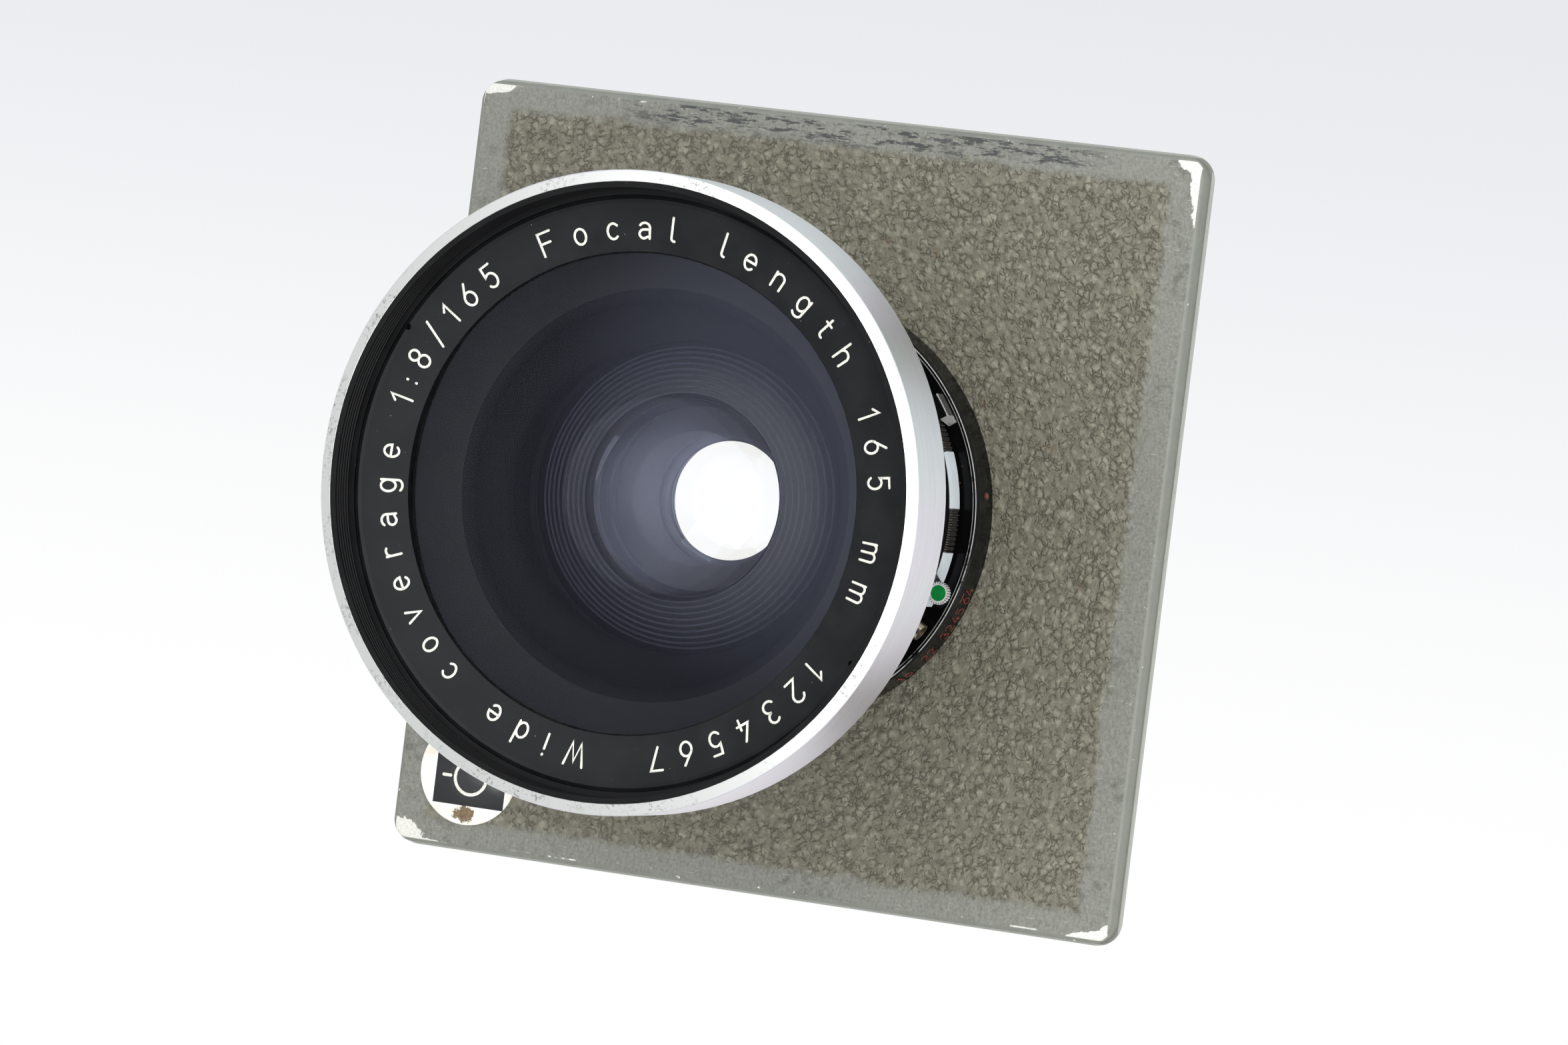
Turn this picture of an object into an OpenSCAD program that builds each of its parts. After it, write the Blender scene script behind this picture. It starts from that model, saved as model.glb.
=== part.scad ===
// A wide-angle large-format lens in a leaf shutter, screwed to a square lens board.
// Units are millimetres. +Z is the optical axis, towards the front of the lens.
// The origin is on that axis, in the plane of the rear rim the lens can stand on.
// Heights inside the modules are measured from the board's front face. Those of the
// shutter are measured from its seat, at the bottom of the board's round recess.

/* [Lens board] */
// Side of the square board, without its rear lip
board_side = 140; // [138:1:150]
// Thickness of the board
board_thick = 4.5; // [4.5:0.25:5]
// Radius of the board's corners
board_corner_r = 4; // [3:0.5:8]
// Radius of the round badge
badge_r = 9.6; // [6:0.1:10]

/* [Front cell] */
// Outside radius of the bright front sleeve
sleeve_r = 55; // [54.5:0.25:57]
// Length of the bright front sleeve
sleeve_len = 14.3; // [10:0.1:15]
// Edge radius of the glass that shows inside the name ring
name_ring_r = 41.4; // [41:0.1:41.8]

/* [Rear cell] */
// Depth of the rear rim behind the board's front face
rear_depth = 50; // [50:0.5:55]
// Outside radius of the rear rim
rear_rim_r = 42; // [41:0.25:44]

/* [Shutter] */
// Radius of the shutter's rear flange
flange_r = 38.45; // [38.3:0.05:40]
// Radius of the light stop with the iris open
stop_r = 10.8; // [10.2:0.1:10.9]
// Turn of the aperture ring from open to smallest stop, degrees
aperture_turn = 55.2; // [50:0.1:56]
// Turn of the shutter ring that shuts the blades, degrees
shutter_turn = 24; // [22:0.5:26]

/* [Hidden] */
$fn = 96;
slack = 0.06;            // running clearance round a turning piece
board_half = board_side / 2;
board_edge_r = 0.9;      // rounding of the board's front edge
board_lip_w = 0.5;       // how far the lip at the back stands out
board_lip_t = 0.8;
pan_depth = 2;           // recess in the board's rear face
board_hole_r = 25.5;
boss_r = 40;             // full-thickness boss round the board's hole
seat_depth = 2.3;        // recess in the board's front face that the shutter sits in

tube_r = 25.4;           // rear tube of the shutter, thread crest
tube_in_r = 21.5;
tube_end_z = -9;
base_top_z = 2;          // floor of the shutter case
wall_in_r = 34.8;
wall_out_r = 36.66;
band_top_z = 7.2;        // top of the scale band
band_top_r = 38.25;

aperture_rest_deg = -75.8;
arm_hw = 1.5;            // half width of the iris ring's arm
arm_z = 7.45;            // where the arm passes through the case's wall

pivot_ring_r = 20;       // circle the blade pivots stand on
leaf_in_r = 11.1;        // inner edge of an open blade
leaf_out_r = 18.8;
leaf_end_deg = 112;        // where a blade's tip ends, from its pivot
root_end_deg = 56;         // where its wider root ends
blade_t = 0.14;
blade_pitch = 0.3;       // height step from one blade to the next
blade_count = 5;
blade_gap_deg = 360 / blade_count;
pin_r = 0.5;

iris_blade_z = 2.2;
iris_ring_z = 3.75;
iris_close_deg = 28.2;
iris_drive = 4;          // from an iris blade's pivot to its drive pin
plate_z = 4.55;          // plate between iris and shutter blades
plate_t = 0.6;
shutter_blade_z = 5.3;
shutter_ring_z = 6.8;
shutter_close_deg = 37.3;
shutter_drive = 3.2;
ring_t = 0.6;
ring_out_r = 24.5;

deck_z = 7.6;            // mechanism plate
deck_t = 0.7;
deck_r = 33.6;
front_tube_r = 24;
front_tube_in_r = 22;
front_tube_top_z = 17.4;
pillar_ring_r = 29;
pillar_angles = [15, 95, 175, 262];
pillar_r = 1.3;
pillar_bore_r = 0.8;

cover_z = 8.85;
cover_top_z = 9.5;
rim_r = 38.25;
rim_in_r = 37.15;
rim_top_z = 9.75;
cover_screw_ring_r = 31;
cover_screw_angles = [100, 200, 320];

lever_z = 9.85;          // cocking and release levers
lever_t = 0.5;
cocking_deg = 35.2;
cocking_tip_r = 37.1;    // outside of the cocking lever's tip
cocking_tip_hw = 2.2;    // half width of the tip
cocking_tip_top_z = 12.8;
speed_z = 10.75;
speed_base_top_z = 13.4;
speed_top_z = 14.2;
speed_base_r = 32.4;
speed_grip_r = 35.3;
retainer_z = 14.5;
retainer_top_z = 16.2;
retainer_r = 31.5;

sync_pivot = [28.5, -6]; // radius and angle of the sync lever's pivot
sync_end = [37.6, -18.1]; // radius and angle of its knob
sync_z = 16.35;
sync_t = 0.75;
knob_r = 2.05;

socket_deg = -31.5;
socket_z = 12.2;
socket_r = 1.6;
socket_in_r = 1.15;
socket_root_r = 32.5;    // how far from the optical axis the socket starts
cable_deg = 165;
cable_z = 4.95;
cable_r = 2.1;
cable_bore_r = 1.35;
cable_thread_r = 1.6;
release_pivot_at = [33, 150];

gear_ring_r = 30.5;
gear_module = 0.3;
wheel_teeth = 18;
pinion_teeth = 8;
gear_step = gear_module * (wheel_teeth + pinion_teeth) / 2;
gear_step_deg = 2 * asin(gear_step / 2 / gear_ring_r);
gear_first_deg = 45;
arbor_r = 0.4;
arbor_hole_r = 0.45;
spring_post_r = 32.5;
spring_post_angles = [188, 250];

thread_pitch = 1;
thread_depth = 0.5;
barrel_r = 52.9;         // black front barrel, inside the sleeve
filter_r = 51.95;        // crest of the filter thread
filter_z = 77.4;         // foot of the filter thread
front_rim_z = 82.9;
meniscus_r = 43;
meniscus_vertex_z = 82.3;
meniscus_front_R = 129.4;
meniscus_t = 4.5;
meniscus_back_R = 38;
meniscus_clear_r = 33.5;
meniscus_foot_z = meniscus_vertex_z - meniscus_t - meniscus_back_R
                + sqrt(pow(meniscus_back_R, 2) - pow(meniscus_clear_r, 2));
doublet_r = 24.5;
doublet_front_z = 46;
doublet_front_R = 62;
doublet_joint_z = 34;
doublet_joint_R = 60;
doublet_back_z = 28;
doublet_back_R = 200;
front_ledge_z = 45.6;    // step the front baffle stands on
cement = 0.02;           // layer between cemented elements
step_count = 8;          // steps of a baffle cone

rear_doublet_r = 23.5;
rear_seat_z = -12.4;      // lip that the rear doublet stands against
rear_flint_z = -11.5;
rear_joint_z = -16.5;
rear_crown_z = -27.5;
rear_crown_R = 60;
rear_ledge_z = -26.2;    // step the rear baffle hangs from
rear_meniscus_r = 34;
rear_meniscus_in_z = -43;
rear_meniscus_in_R = 40;
rear_meniscus_clear_r = 28;
rear_meniscus_out_z = -47;
rear_meniscus_out_R = 100;
rear_meniscus_head_z = rear_meniscus_in_z + rear_meniscus_in_R
                     - sqrt(pow(rear_meniscus_in_R, 2) - pow(rear_meniscus_clear_r, 2));

// ---- helpers ----

function polar(r, a) = [r * cos(a), r * sin(a)];
function turned_by(p, a) = [p[0] * cos(a) - p[1] * sin(a), p[0] * sin(a) + p[1] * cos(a)];

// Flanks of a thread, going up from z0, for a profile to be turned. Each turn has a flat crest.
function flanks(crest_r, root_r, z0, count) =
  concat([for (i = [0 : count - 1], c = [[crest_r, 0], [crest_r, 0.4], [root_r, 0.7]])
            [c[0], z0 + (i + c[1]) * thread_pitch]],
         [[crest_r, z0 + count * thread_pitch]]);

// Stairs of a baffle cone, from its narrow end to its wide end.
function stairs(r0, z0, dr, dz) =
  [for (i = [0 : 2 * step_count]) [r0 + dr * ceil(i / 2), z0 + dz * floor(i / 2)]];

// Everything is placed from the board's front face.
module on_board() {
  translate([0, 0, rear_depth]) children();
}

// The shutter's own parts are placed from its seat.
module on_seat() {
  translate([0, 0, rear_depth - seat_depth]) children();
}

module at(r, a, z = 0) {
  translate([r * cos(a), r * sin(a), z]) children();
}

// Stands a piece radially: its own +Z points away from the optical axis.
module radial(r, a, z) {
  at(r, a, z) rotate([0, 90, a]) children();
}

module turned(points) {
  rotate_extrude() polygon(points);
}

module tube(r_in, r_out, z0, z1) {
  turned([[r_in, z0], [r_out, z0], [r_out, z1], [r_in, z1]]);
}

module drum(r, z0, z1) {
  translate([0, 0, z0]) cylinder(r = r, h = z1 - z0);
}

module wedge_2d(r, a0, a1) {
  steps = ceil((a1 - a0) / 45);
  rim = [for (i = [0 : steps]) polar(1.5 * r, a0 + (a1 - a0) * i / steps)];
  polygon(concat([[0, 0]], rim));
}

module sector_2d(r_in, r_out, a0, a1) {
  intersection() {
    difference() {
      circle(r_out);
      circle(r_in);
    }
    wedge_2d(r_out, a0, a1);
  }
}

module sector(r_in, r_out, a0, a1, z0, z1) {
  translate([0, 0, z0]) linear_extrude(z1 - z0) sector_2d(r_in, r_out, a0, a1);
}

// Slotted screw: head from z0 up, shank below it.
module screw(head_r, head_h, shank_r, shank_len) {
  difference() {
    union() {
      cylinder(r = head_r, h = head_h);
      translate([0, 0, -shank_len]) cylinder(r = shank_r, h = shank_len);
    }
    translate([-head_r - 1, -0.15, head_h * 0.45]) cube([2 * head_r + 2, 0.3, head_h]);
  }
}

// ---- lens board ----

module board_edge_2d() {
  lip_r = board_corner_r + board_lip_w;
  translate([0, -board_thick]) square([board_corner_r, board_thick - board_edge_r]);
  translate([0, -board_thick]) square([board_corner_r - board_edge_r, board_thick]);
  translate([board_corner_r - board_edge_r, -board_edge_r]) circle(board_edge_r);
  translate([0, -board_thick]) square([lip_r, board_lip_t]);
}

module board_blank() {
  reach = board_half - board_corner_r;
  translate([-reach, -reach, -board_thick]) cube([2 * reach, 2 * reach, board_thick]);
  for (i = [0 : 3]) {
    rotate(90 * i) {
      translate([reach, reach, 0]) rotate_extrude() board_edge_2d();
      translate([reach, reach, 0]) rotate([90, 0, 0]) linear_extrude(2 * reach) board_edge_2d();
    }
  }
}

module lens_board() {
  badge_at = [-board_half + 14, -board_half + 14];
  pan_half = board_half - 4;
  color([0.36, 0.36, 0.30])
    on_board() difference() {
      board_blank();
      drum(board_hole_r, -board_thick - 1, 1);
      drum(wall_out_r + 0.1, -seat_depth, 1);
      translate([badge_at[0], badge_at[1], -0.2]) cylinder(r = badge_r + 0.05, h = 1);
      at(30, 90, -seat_depth - 0.9) cylinder(r = 1.05, h = 2);
      difference() {
        translate([-pan_half, -pan_half, -board_thick - 1])
          cube([2 * pan_half, 2 * pan_half, 1 + pan_depth]);
        drum(boss_r, -board_thick - 2, 1);
      }
    }
}

module board_badge() {
  badge_at = [-board_half + 14, -board_half + 14, -0.2];
  color([0.9, 0.9, 0.88])
    on_board() translate(badge_at) {
      cylinder(r = badge_r, h = 0.4);
      translate([0, 0, 0.4]) cylinder(r1 = badge_r, r2 = badge_r - 0.2, h = 0.2);
    }
}

module board_retaining_ring() {
  top_z = -board_thick;
  ring_h = 2.6;
  color([0.12, 0.12, 0.13])
    on_board() difference() {
      tube(tube_r + 0.05, 31, top_z - ring_h, top_z);
      for (a = [45 : 90 : 315]) {
        rotate(a) translate([28.4, -1.5, top_z - ring_h - 1]) cube([5, 3, 2.4]);
      }
    }
}

module locating_screw() {
  color([0.55, 0.55, 0.56])
    on_seat() at(30, 90, -0.8) cylinder(r = 1, h = 2.2);
}

// ---- shutter case ----

module housing_shell() {
  thread = flanks(tube_r, tube_r - thread_depth, tube_end_z + 0.4, 8);
  turned(concat([[tube_in_r, tube_end_z], [tube_r - 0.4, tube_end_z]], thread,
                [[tube_r, 0], [wall_out_r, 0], [wall_out_r, seat_depth], [flange_r, seat_depth],
                 [band_top_r, band_top_z], [wall_out_r, band_top_z], [wall_out_r, 8.4],
                 [wall_in_r, 8.4], [wall_in_r, base_top_z],
                 [stop_r + 0.8, base_top_z], [stop_r + 0.8, 0.6], [tube_in_r, 0]]));
}

module shutter_housing() {
  slot_a0 = aperture_rest_deg - 7;
  slot_a1 = aperture_rest_deg + aperture_turn + 7;
  color([0.05, 0.05, 0.055])
    on_seat() {
      difference() {
        housing_shell();
        sector(wall_in_r - 1, wall_out_r + 1, slot_a0, slot_a1, band_top_z + 0.02, 9);
        for (i = [0 : blade_count - 1]) {
          at(pivot_ring_r, i * blade_gap_deg, 0.8) cylinder(r = pin_r + 0.05, h = 2);
        }
        for (i = [0 : 3]) {
          at(gear_ring_r, gear_first_deg + i * gear_step_deg, 1.2) cylinder(r = arbor_hole_r, h = 2);
        }
        at(30, 90, -1) cylinder(r = 1.02, h = 2.5);
        radial(wall_in_r - 1, cable_deg, cable_z) cylinder(r = cable_r + 0.02, h = 8);
      }
      for (a = spring_post_angles) {
        at(spring_post_r, a, base_top_z - 0.1) cylinder(r = 0.5, h = 4.3);
      }
    }
}

module front_cover() {
  color([0.04, 0.04, 0.045])
    on_seat() difference() {
      turned([[front_tube_r + 0.03, cover_z], [rim_in_r - 0.5, cover_z], [rim_in_r - 0.5, 8.45],
              [rim_r, 8.45], [rim_r, 8.8], [rim_r - 0.45, 9.2], [rim_r - 0.1, 9.55],
              [rim_r - 0.1, 9.65], [rim_r - 0.25, rim_top_z], [rim_in_r + 0.35, rim_top_z],
              [rim_in_r, cover_top_z], [front_tube_r + 0.03, cover_top_z]]);
      for (a = cover_screw_angles) {
        at(cover_screw_ring_r, a, cover_z) cylinder(r1 = 0.82, r2 = 1.55, h = cover_top_z - cover_z);
        at(cover_screw_ring_r, a, cover_z - 1) cylinder(r = 0.82, h = 2);
      }
      at(release_pivot_at[0], release_pivot_at[1], cover_z - 1) cylinder(r = 0.8, h = 3);
    }
}

module cover_screws() {
  color([0.2, 0.2, 0.21])
    on_seat() for (a = cover_screw_angles) {
      at(cover_screw_ring_r, a, cover_z) difference() {
        union() {
          translate([0, 0, 0.05]) cylinder(r1 = 0.78, r2 = 1.48, h = cover_top_z - cover_z - 0.05);
          translate([0, 0, -1.1]) cylinder(r = 0.75, h = 1.3);
        }
        rotate(a / 2) translate([-2, -0.15, 0.35]) cube([4, 0.3, 1]);
      }
    }
}

// ---- iris ----

// A blade drawn open, its pivot on the X axis. A counter-clockwise turn shuts it.
module blade_2d() {
  sector_2d(leaf_in_r, leaf_out_r, -4, leaf_end_deg);
  sector_2d(leaf_in_r, pivot_ring_r, -4, root_end_deg);
  translate([pivot_ring_r, 0]) circle(1.7);
}

// One blade with its pivot pin down into the floor and its drive pin up into the ring.
module blade(z, foot_z, head_z, drive) {
  translate([0, 0, z]) linear_extrude(blade_t) {
    blade_2d();
    translate([pivot_ring_r - 1, 0]) square([2, drive]);
    translate([pivot_ring_r, drive]) circle(1);
  }
  at(pivot_ring_r, 0, foot_z) cylinder(r = pin_r, h = z + blade_t - foot_z);
  translate([pivot_ring_r, drive, z]) cylinder(r = pin_r, h = head_z - z);
}

// Where a drive pin stands on its ring when the ring has turned and the blade has followed.
function pin_path(ring_deg, ratio, drive) =
  turned_by([pivot_ring_r - drive * sin(ratio * ring_deg), drive * cos(ratio * ring_deg)], -ring_deg);

// Slots of a drive ring: the path of the pins, widened on both sides.
module pin_slots_2d(turn, close_deg, drive) {
  steps = 12;
  half_w = pin_r + 0.09;
  ratio = close_deg / turn;
  path = [for (i = [0 : steps]) pin_path(turn * i / steps, ratio, drive)];
  outer = [for (p = path) p * (1 + half_w / norm(p))];
  inner = [for (i = [steps : -1 : 0]) path[i] * (1 - half_w / norm(path[i]))];
  polygon(concat(outer, inner));
  for (p = [path[0], path[steps]]) {
    translate(p) circle(half_w + 0.02);
  }
}

module iris_blade(i) {
  color([0.10, 0.10, 0.11])
    on_seat() rotate(i * blade_gap_deg)
      blade(iris_blade_z + i * blade_pitch, 0.95, iris_ring_z + ring_t - 0.1, iris_drive);
}

module iris_ring() {
  color([0.62, 0.52, 0.28])
    on_seat() {
      translate([0, 0, iris_ring_z]) linear_extrude(ring_t) difference() {
        circle(ring_out_r);
        circle(15.5);
        for (i = [0 : blade_count - 1]) {
          rotate(i * blade_gap_deg) pin_slots_2d(aperture_turn, iris_close_deg, iris_drive);
        }
      }
      rotate(aperture_rest_deg) {
        translate([ring_out_r - 1, -arm_hw, iris_ring_z]) cube([10.7, 2 * arm_hw, ring_t]);
        translate([32.8, -arm_hw, iris_ring_z]) cube([1.4, 2 * arm_hw, arm_z + ring_t - iris_ring_z]);
        translate([32.8, -arm_hw, arm_z]) cube([4.6, 2 * arm_hw, ring_t]);
      }
    }
}

module aperture_ring() {
  lever_r = 43.4;
  foot_z = band_top_z + 0.08;
  top_z = 8.35;
  color([0.06, 0.06, 0.065])
    on_seat() difference() {
      union() {
        turned([[wall_out_r + slack, foot_z], [rim_r, foot_z], [rim_r, top_z], [wall_out_r + slack, top_z]]);
        rotate(aperture_rest_deg) {
          translate([rim_r - 0.3, -2.2, foot_z]) cube([lever_r - rim_r + 0.3, 4.4, top_z - foot_z]);
          translate([lever_r - 1.6, -2.2, foot_z]) cube([1.6, 4.4, 2.6]);
        }
      }
      rotate(aperture_rest_deg) {
        translate([36, -arm_hw - 0.05, band_top_z]) cube([1.5, 2 * arm_hw + 0.1, 2]);
        for (y = [-1.6 : 0.8 : 1.6]) {
          translate([lever_r, y, 6.9]) rotate(45) translate([-0.2, -0.2, 0]) cube([0.4, 0.4, 4]);
        }
      }
    }
}

module blade_plate() {
  color([0.14, 0.14, 0.15])
    on_seat() translate([0, 0, plate_z]) linear_extrude(plate_t) difference() {
      union() {
        circle(24.8);
        for (a = pillar_angles) {
          rotate(a) translate([20, -2]) square([pillar_ring_r - 20, 4]);
          translate(polar(pillar_ring_r, a)) circle(2.2);
        }
      }
      circle(stop_r);
      for (i = [0 : blade_count - 1]) {
        translate(polar(pivot_ring_r, (i + 0.5) * blade_gap_deg)) circle(pin_r + 0.05);
      }
      for (a = pillar_angles) {
        translate(polar(pillar_ring_r, a)) circle(pillar_r + 0.02);
      }
    }
}

// ---- shutter blades and their mechanism ----

module shutter_blade(i) {
  color([0.16, 0.16, 0.18])
    on_seat() rotate((i + 0.5) * blade_gap_deg)
      blade(shutter_blade_z + i * blade_pitch, plate_z + 0.05, shutter_ring_z + ring_t - 0.1, shutter_drive);
}

module shutter_ring() {
  color([0.66, 0.56, 0.30])
    on_seat() translate([0, 0, shutter_ring_z]) linear_extrude(ring_t) difference() {
      union() {
        circle(ring_out_r);
        sector_2d(ring_out_r - 1, 27, 205, 217);
      }
      circle(15.5);
      for (i = [0 : blade_count - 1]) {
        rotate((i + 0.5) * blade_gap_deg) pin_slots_2d(shutter_turn, shutter_close_deg, shutter_drive);
      }
    }
}

module mechanism_pillars() {
  color([0.70, 0.60, 0.34])
    on_seat() for (a = pillar_angles) {
      at(pillar_ring_r, a) {
        tube(pillar_bore_r, pillar_r, base_top_z, deck_z);
      }
    }
}

module mechanism_plate() {
  color([0.60, 0.52, 0.30])
    on_seat() {
      translate([0, 0, deck_z]) linear_extrude(deck_t) difference() {
        circle(deck_r);
        circle(stop_r + 1.6);
        for (a = pillar_angles) {
          translate(polar(pillar_ring_r, a)) circle(pillar_bore_r);
        }
        for (a = cover_screw_angles) {
          translate(polar(cover_screw_ring_r, a)) circle(0.8);
        }
        for (i = [0 : 3]) {
          translate(polar(gear_ring_r, gear_first_deg + i * gear_step_deg)) circle(arbor_hole_r);
        }
        rotate(aperture_rest_deg + aperture_turn / 2)
          sector_2d(32, deck_r + 1, -aperture_turn / 2 - 6, aperture_turn / 2 + 6);
      }
      tube(front_tube_in_r, front_tube_r, deck_z + deck_t - 0.1, front_tube_top_z);
    }
}

module mechanism_screws() {
  color([0.75, 0.75, 0.76])
    on_seat() for (a = pillar_angles) {
      at(pillar_ring_r, a, deck_z + deck_t) rotate(a) screw(1.4, 0.45, 0.77, 3);
    }
}

module shutter_spring() {
  a = spring_post_r * cos((spring_post_angles[1] - spring_post_angles[0]) / 2);
  half_len = spring_post_r * sin((spring_post_angles[1] - spring_post_angles[0]) / 2) - 1;
  coils = 34;
  coil_len = 2 * (half_len - 2.6);
  coil_step = coil_len / coils;
  body = [for (i = [0 : 2 * coils]) [i % 2 == 0 ? 0.62 : 0.95, i * coil_step / 2]];
  color([0.6, 0.6, 0.62])
    on_seat() {
      rotate((spring_post_angles[0] + spring_post_angles[1]) / 2) translate([a, 0, 4.6]) rotate([90, 0, 0]) {
        translate([0, 0, -coil_len / 2])
          rotate_extrude() polygon(concat([[0, 0]], body, [[0, coil_len]]));
        translate([0, 0, -half_len + 0.1]) cylinder(r = 0.2, h = 2 * half_len - 0.2);
      }
      for (b = spring_post_angles) {
        at(spring_post_r, b, 4.6) rotate_extrude() translate([0.85, 0]) circle(0.22);
      }
    }
}

// A gear with straight-sided teeth, one of them on the X axis.
module gear_2d(teeth) {
  pitch_r = gear_module * teeth / 2;
  root_r = pitch_r - 1.2 * gear_module;
  tip_r = pitch_r + 0.8 * gear_module;
  step = 360 / teeth;
  polygon([for (i = [0 : teeth - 1], c = [[-0.25, root_r], [-0.09, tip_r], [0.09, tip_r], [0.25, root_r]])
             polar(c[1], step * (i + c[0]))]);
}

// Angle of the line from one arbor to the next.
function mesh_deg(i) = gear_first_deg + (i + 0.5) * gear_step_deg + 90;

module arbor() {
  translate([0, 0, 1.3]) cylinder(r = arbor_r, h = 6.9);
}

module gear_1() {
  color([0.72, 0.60, 0.30])
    on_seat() at(gear_ring_r, gear_first_deg) {
      arbor();
      rotate(mesh_deg(0)) translate([0, 0, 2.6]) linear_extrude(0.7) gear_2d(wheel_teeth);
    }
}

module gear_2() {
  color([0.72, 0.60, 0.30])
    on_seat() at(gear_ring_r, gear_first_deg + gear_step_deg) {
      arbor();
      rotate(mesh_deg(0) + 180 + 180 / pinion_teeth)
        translate([0, 0, 2.5]) linear_extrude(1.6) gear_2d(pinion_teeth);
      rotate(mesh_deg(1)) translate([0, 0, 3.9]) linear_extrude(0.7) gear_2d(wheel_teeth);
    }
}

module escape_wheel() {
  teeth = 12;
  tip_r = 2.75;
  color([0.72, 0.60, 0.30])
    on_seat() at(gear_ring_r, gear_first_deg + 2 * gear_step_deg) {
      arbor();
      rotate(mesh_deg(1) + 180 + 180 / pinion_teeth)
        translate([0, 0, 3.8]) linear_extrude(1.6) gear_2d(pinion_teeth);
      translate([0, 0, 5.3]) linear_extrude(0.6)
        polygon([for (i = [0 : teeth - 1], c = [[0, 1.8], [0.15, tip_r], [0.35, tip_r]])
                   polar(c[1], 360 / teeth * (i + c[0]))]);
    }
}

module pallet() {
  to_wheel = mesh_deg(2) + 180;
  color([0.62, 0.62, 0.64])
    on_seat() at(gear_ring_r, gear_first_deg + 3 * gear_step_deg) {
      arbor();
      rotate(to_wheel) translate([0, 0, 5.3]) linear_extrude(0.6) {
        circle(0.9);
        translate([-1.6, -0.45]) square([2.2, 0.9]);
        for (side = [-1, 1]) {
          rotate(side * 55) translate([0, -0.3]) square([3.1, 0.6]);
        }
      }
    }
}

// ---- controls on the front of the shutter ----

module cocking_ring() {
  color([0.07, 0.07, 0.075])
    on_seat() {
      tube(front_tube_r + slack, 28, lever_z, lever_z + lever_t);
      rotate(cocking_deg) {
        translate([27, -1.7, lever_z]) cube([cocking_tip_r - 27, 3.4, lever_t]);
        translate([cocking_tip_r - 1.6, 0, 0]) rotate([90, 0, 90]) linear_extrude(1.6)
          polygon([[-cocking_tip_hw - 1.3, lever_z], [cocking_tip_hw, lever_z],
                   [cocking_tip_hw, cocking_tip_top_z], [-cocking_tip_hw, cocking_tip_top_z],
                   [-cocking_tip_hw - 0.5, cocking_tip_top_z - 1], [-cocking_tip_hw - 1.1, lever_z + 0.6]]);
      }
    }
}

// Upright grooves of a knurl on the outside of a radius.
module knurl_cuts(r, a0, a1, step_deg) {
  for (a = [a0 + step_deg / 2 : step_deg : a1]) {
    rotate(a) translate([r + 0.1, 0, speed_z - 1]) rotate(45) translate([-0.3, -0.3, 0]) cube([0.6, 0.6, 6]);
  }
}

// A raised stretch of the rim that fingers turn the ring by.
module speed_grip(a0, a1) {
  intersection() {
    tube(speed_base_r - 0.4, speed_grip_r, speed_z, speed_top_z);
    translate([0, 0, speed_z - 1]) linear_extrude(6) wedge_2d(speed_grip_r, a0, a1);
  }
}

module speed_ring() {
  knurled = [[-7.6, 5.6], [21.9, 36], [145, 171]];
  color([0.2, 0.2, 0.21])
    on_seat() {
      tube(front_tube_r + slack, speed_base_r, speed_z, speed_base_top_z);
      difference() {
        union() {
          speed_grip(-24.2, 36);
          speed_grip(130, 186);
        }
        for (a = knurled) {
          knurl_cuts(speed_grip_r, a[0], a[1], 1.4);
        }
      }
    }
}

module speed_retainer() {
  color([0.08, 0.08, 0.085])
    on_seat() difference() {
      turned([[front_tube_r + 0.02, speed_base_top_z + 0.15], [28, speed_base_top_z + 0.15],
              [28, retainer_z], [retainer_r, retainer_z], [retainer_r, retainer_top_z - 0.3],
              [retainer_r - 0.3, retainer_top_z], [front_tube_r + 0.02, retainer_top_z]]);
      for (a = [60, 240]) {
        rotate(a) translate([26, -0.8, retainer_top_z - 0.8]) cube([8, 1.6, 2]);
      }
      at(sync_pivot[0], sync_pivot[1], retainer_z - 1) cylinder(r = 0.75, h = 4);
    }
}

module sync_lever() {
  p = polar(sync_pivot[0], sync_pivot[1]);
  q = polar(sync_end[0], sync_end[1]);
  reach = norm(q - p);
  color([0.72, 0.73, 0.74])
    on_seat() translate([p[0], p[1], sync_z]) rotate(atan2(q[1] - p[1], q[0] - p[0])) linear_extrude(sync_t)
      difference() {
        union() {
          circle(2);
          translate([0, -1.1]) square([reach, 2.2]);
          translate([reach, 0]) circle(1.7);
        }
        circle(0.95);
      }
}

module sync_knob() {
  teeth = 26;
  color([0.75, 0.76, 0.77])
    on_seat() at(sync_end[0], sync_end[1], sync_z + sync_t) difference() {
      cylinder(r = knob_r, h = 0.95);
      translate([0, 0, 0.7]) cylinder(r = 1.42, h = 1);
      for (i = [0 : teeth - 1]) {
        rotate(i * 360 / teeth) translate([knob_r, 0, -1]) rotate(45)
          translate([-0.12, -0.12, 0]) cube([0.24, 0.24, 3]);
      }
    }
}

module sync_enamel() {
  color([0.02, 0.40, 0.15])
    on_seat() at(sync_end[0], sync_end[1], sync_z + sync_t + 0.7) cylinder(r = 1.4, h = 0.18);
}

module sync_pivot_screw() {
  color([0.6, 0.6, 0.62])
    on_seat() at(sync_pivot[0], sync_pivot[1], sync_z + sync_t + 0.05) {
      screw(1.6, 0.6, 0.9, sync_t + 0.15);
      translate([0, 0, -2.2]) cylinder(r = 0.72, h = 1.5);
    }
}

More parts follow.
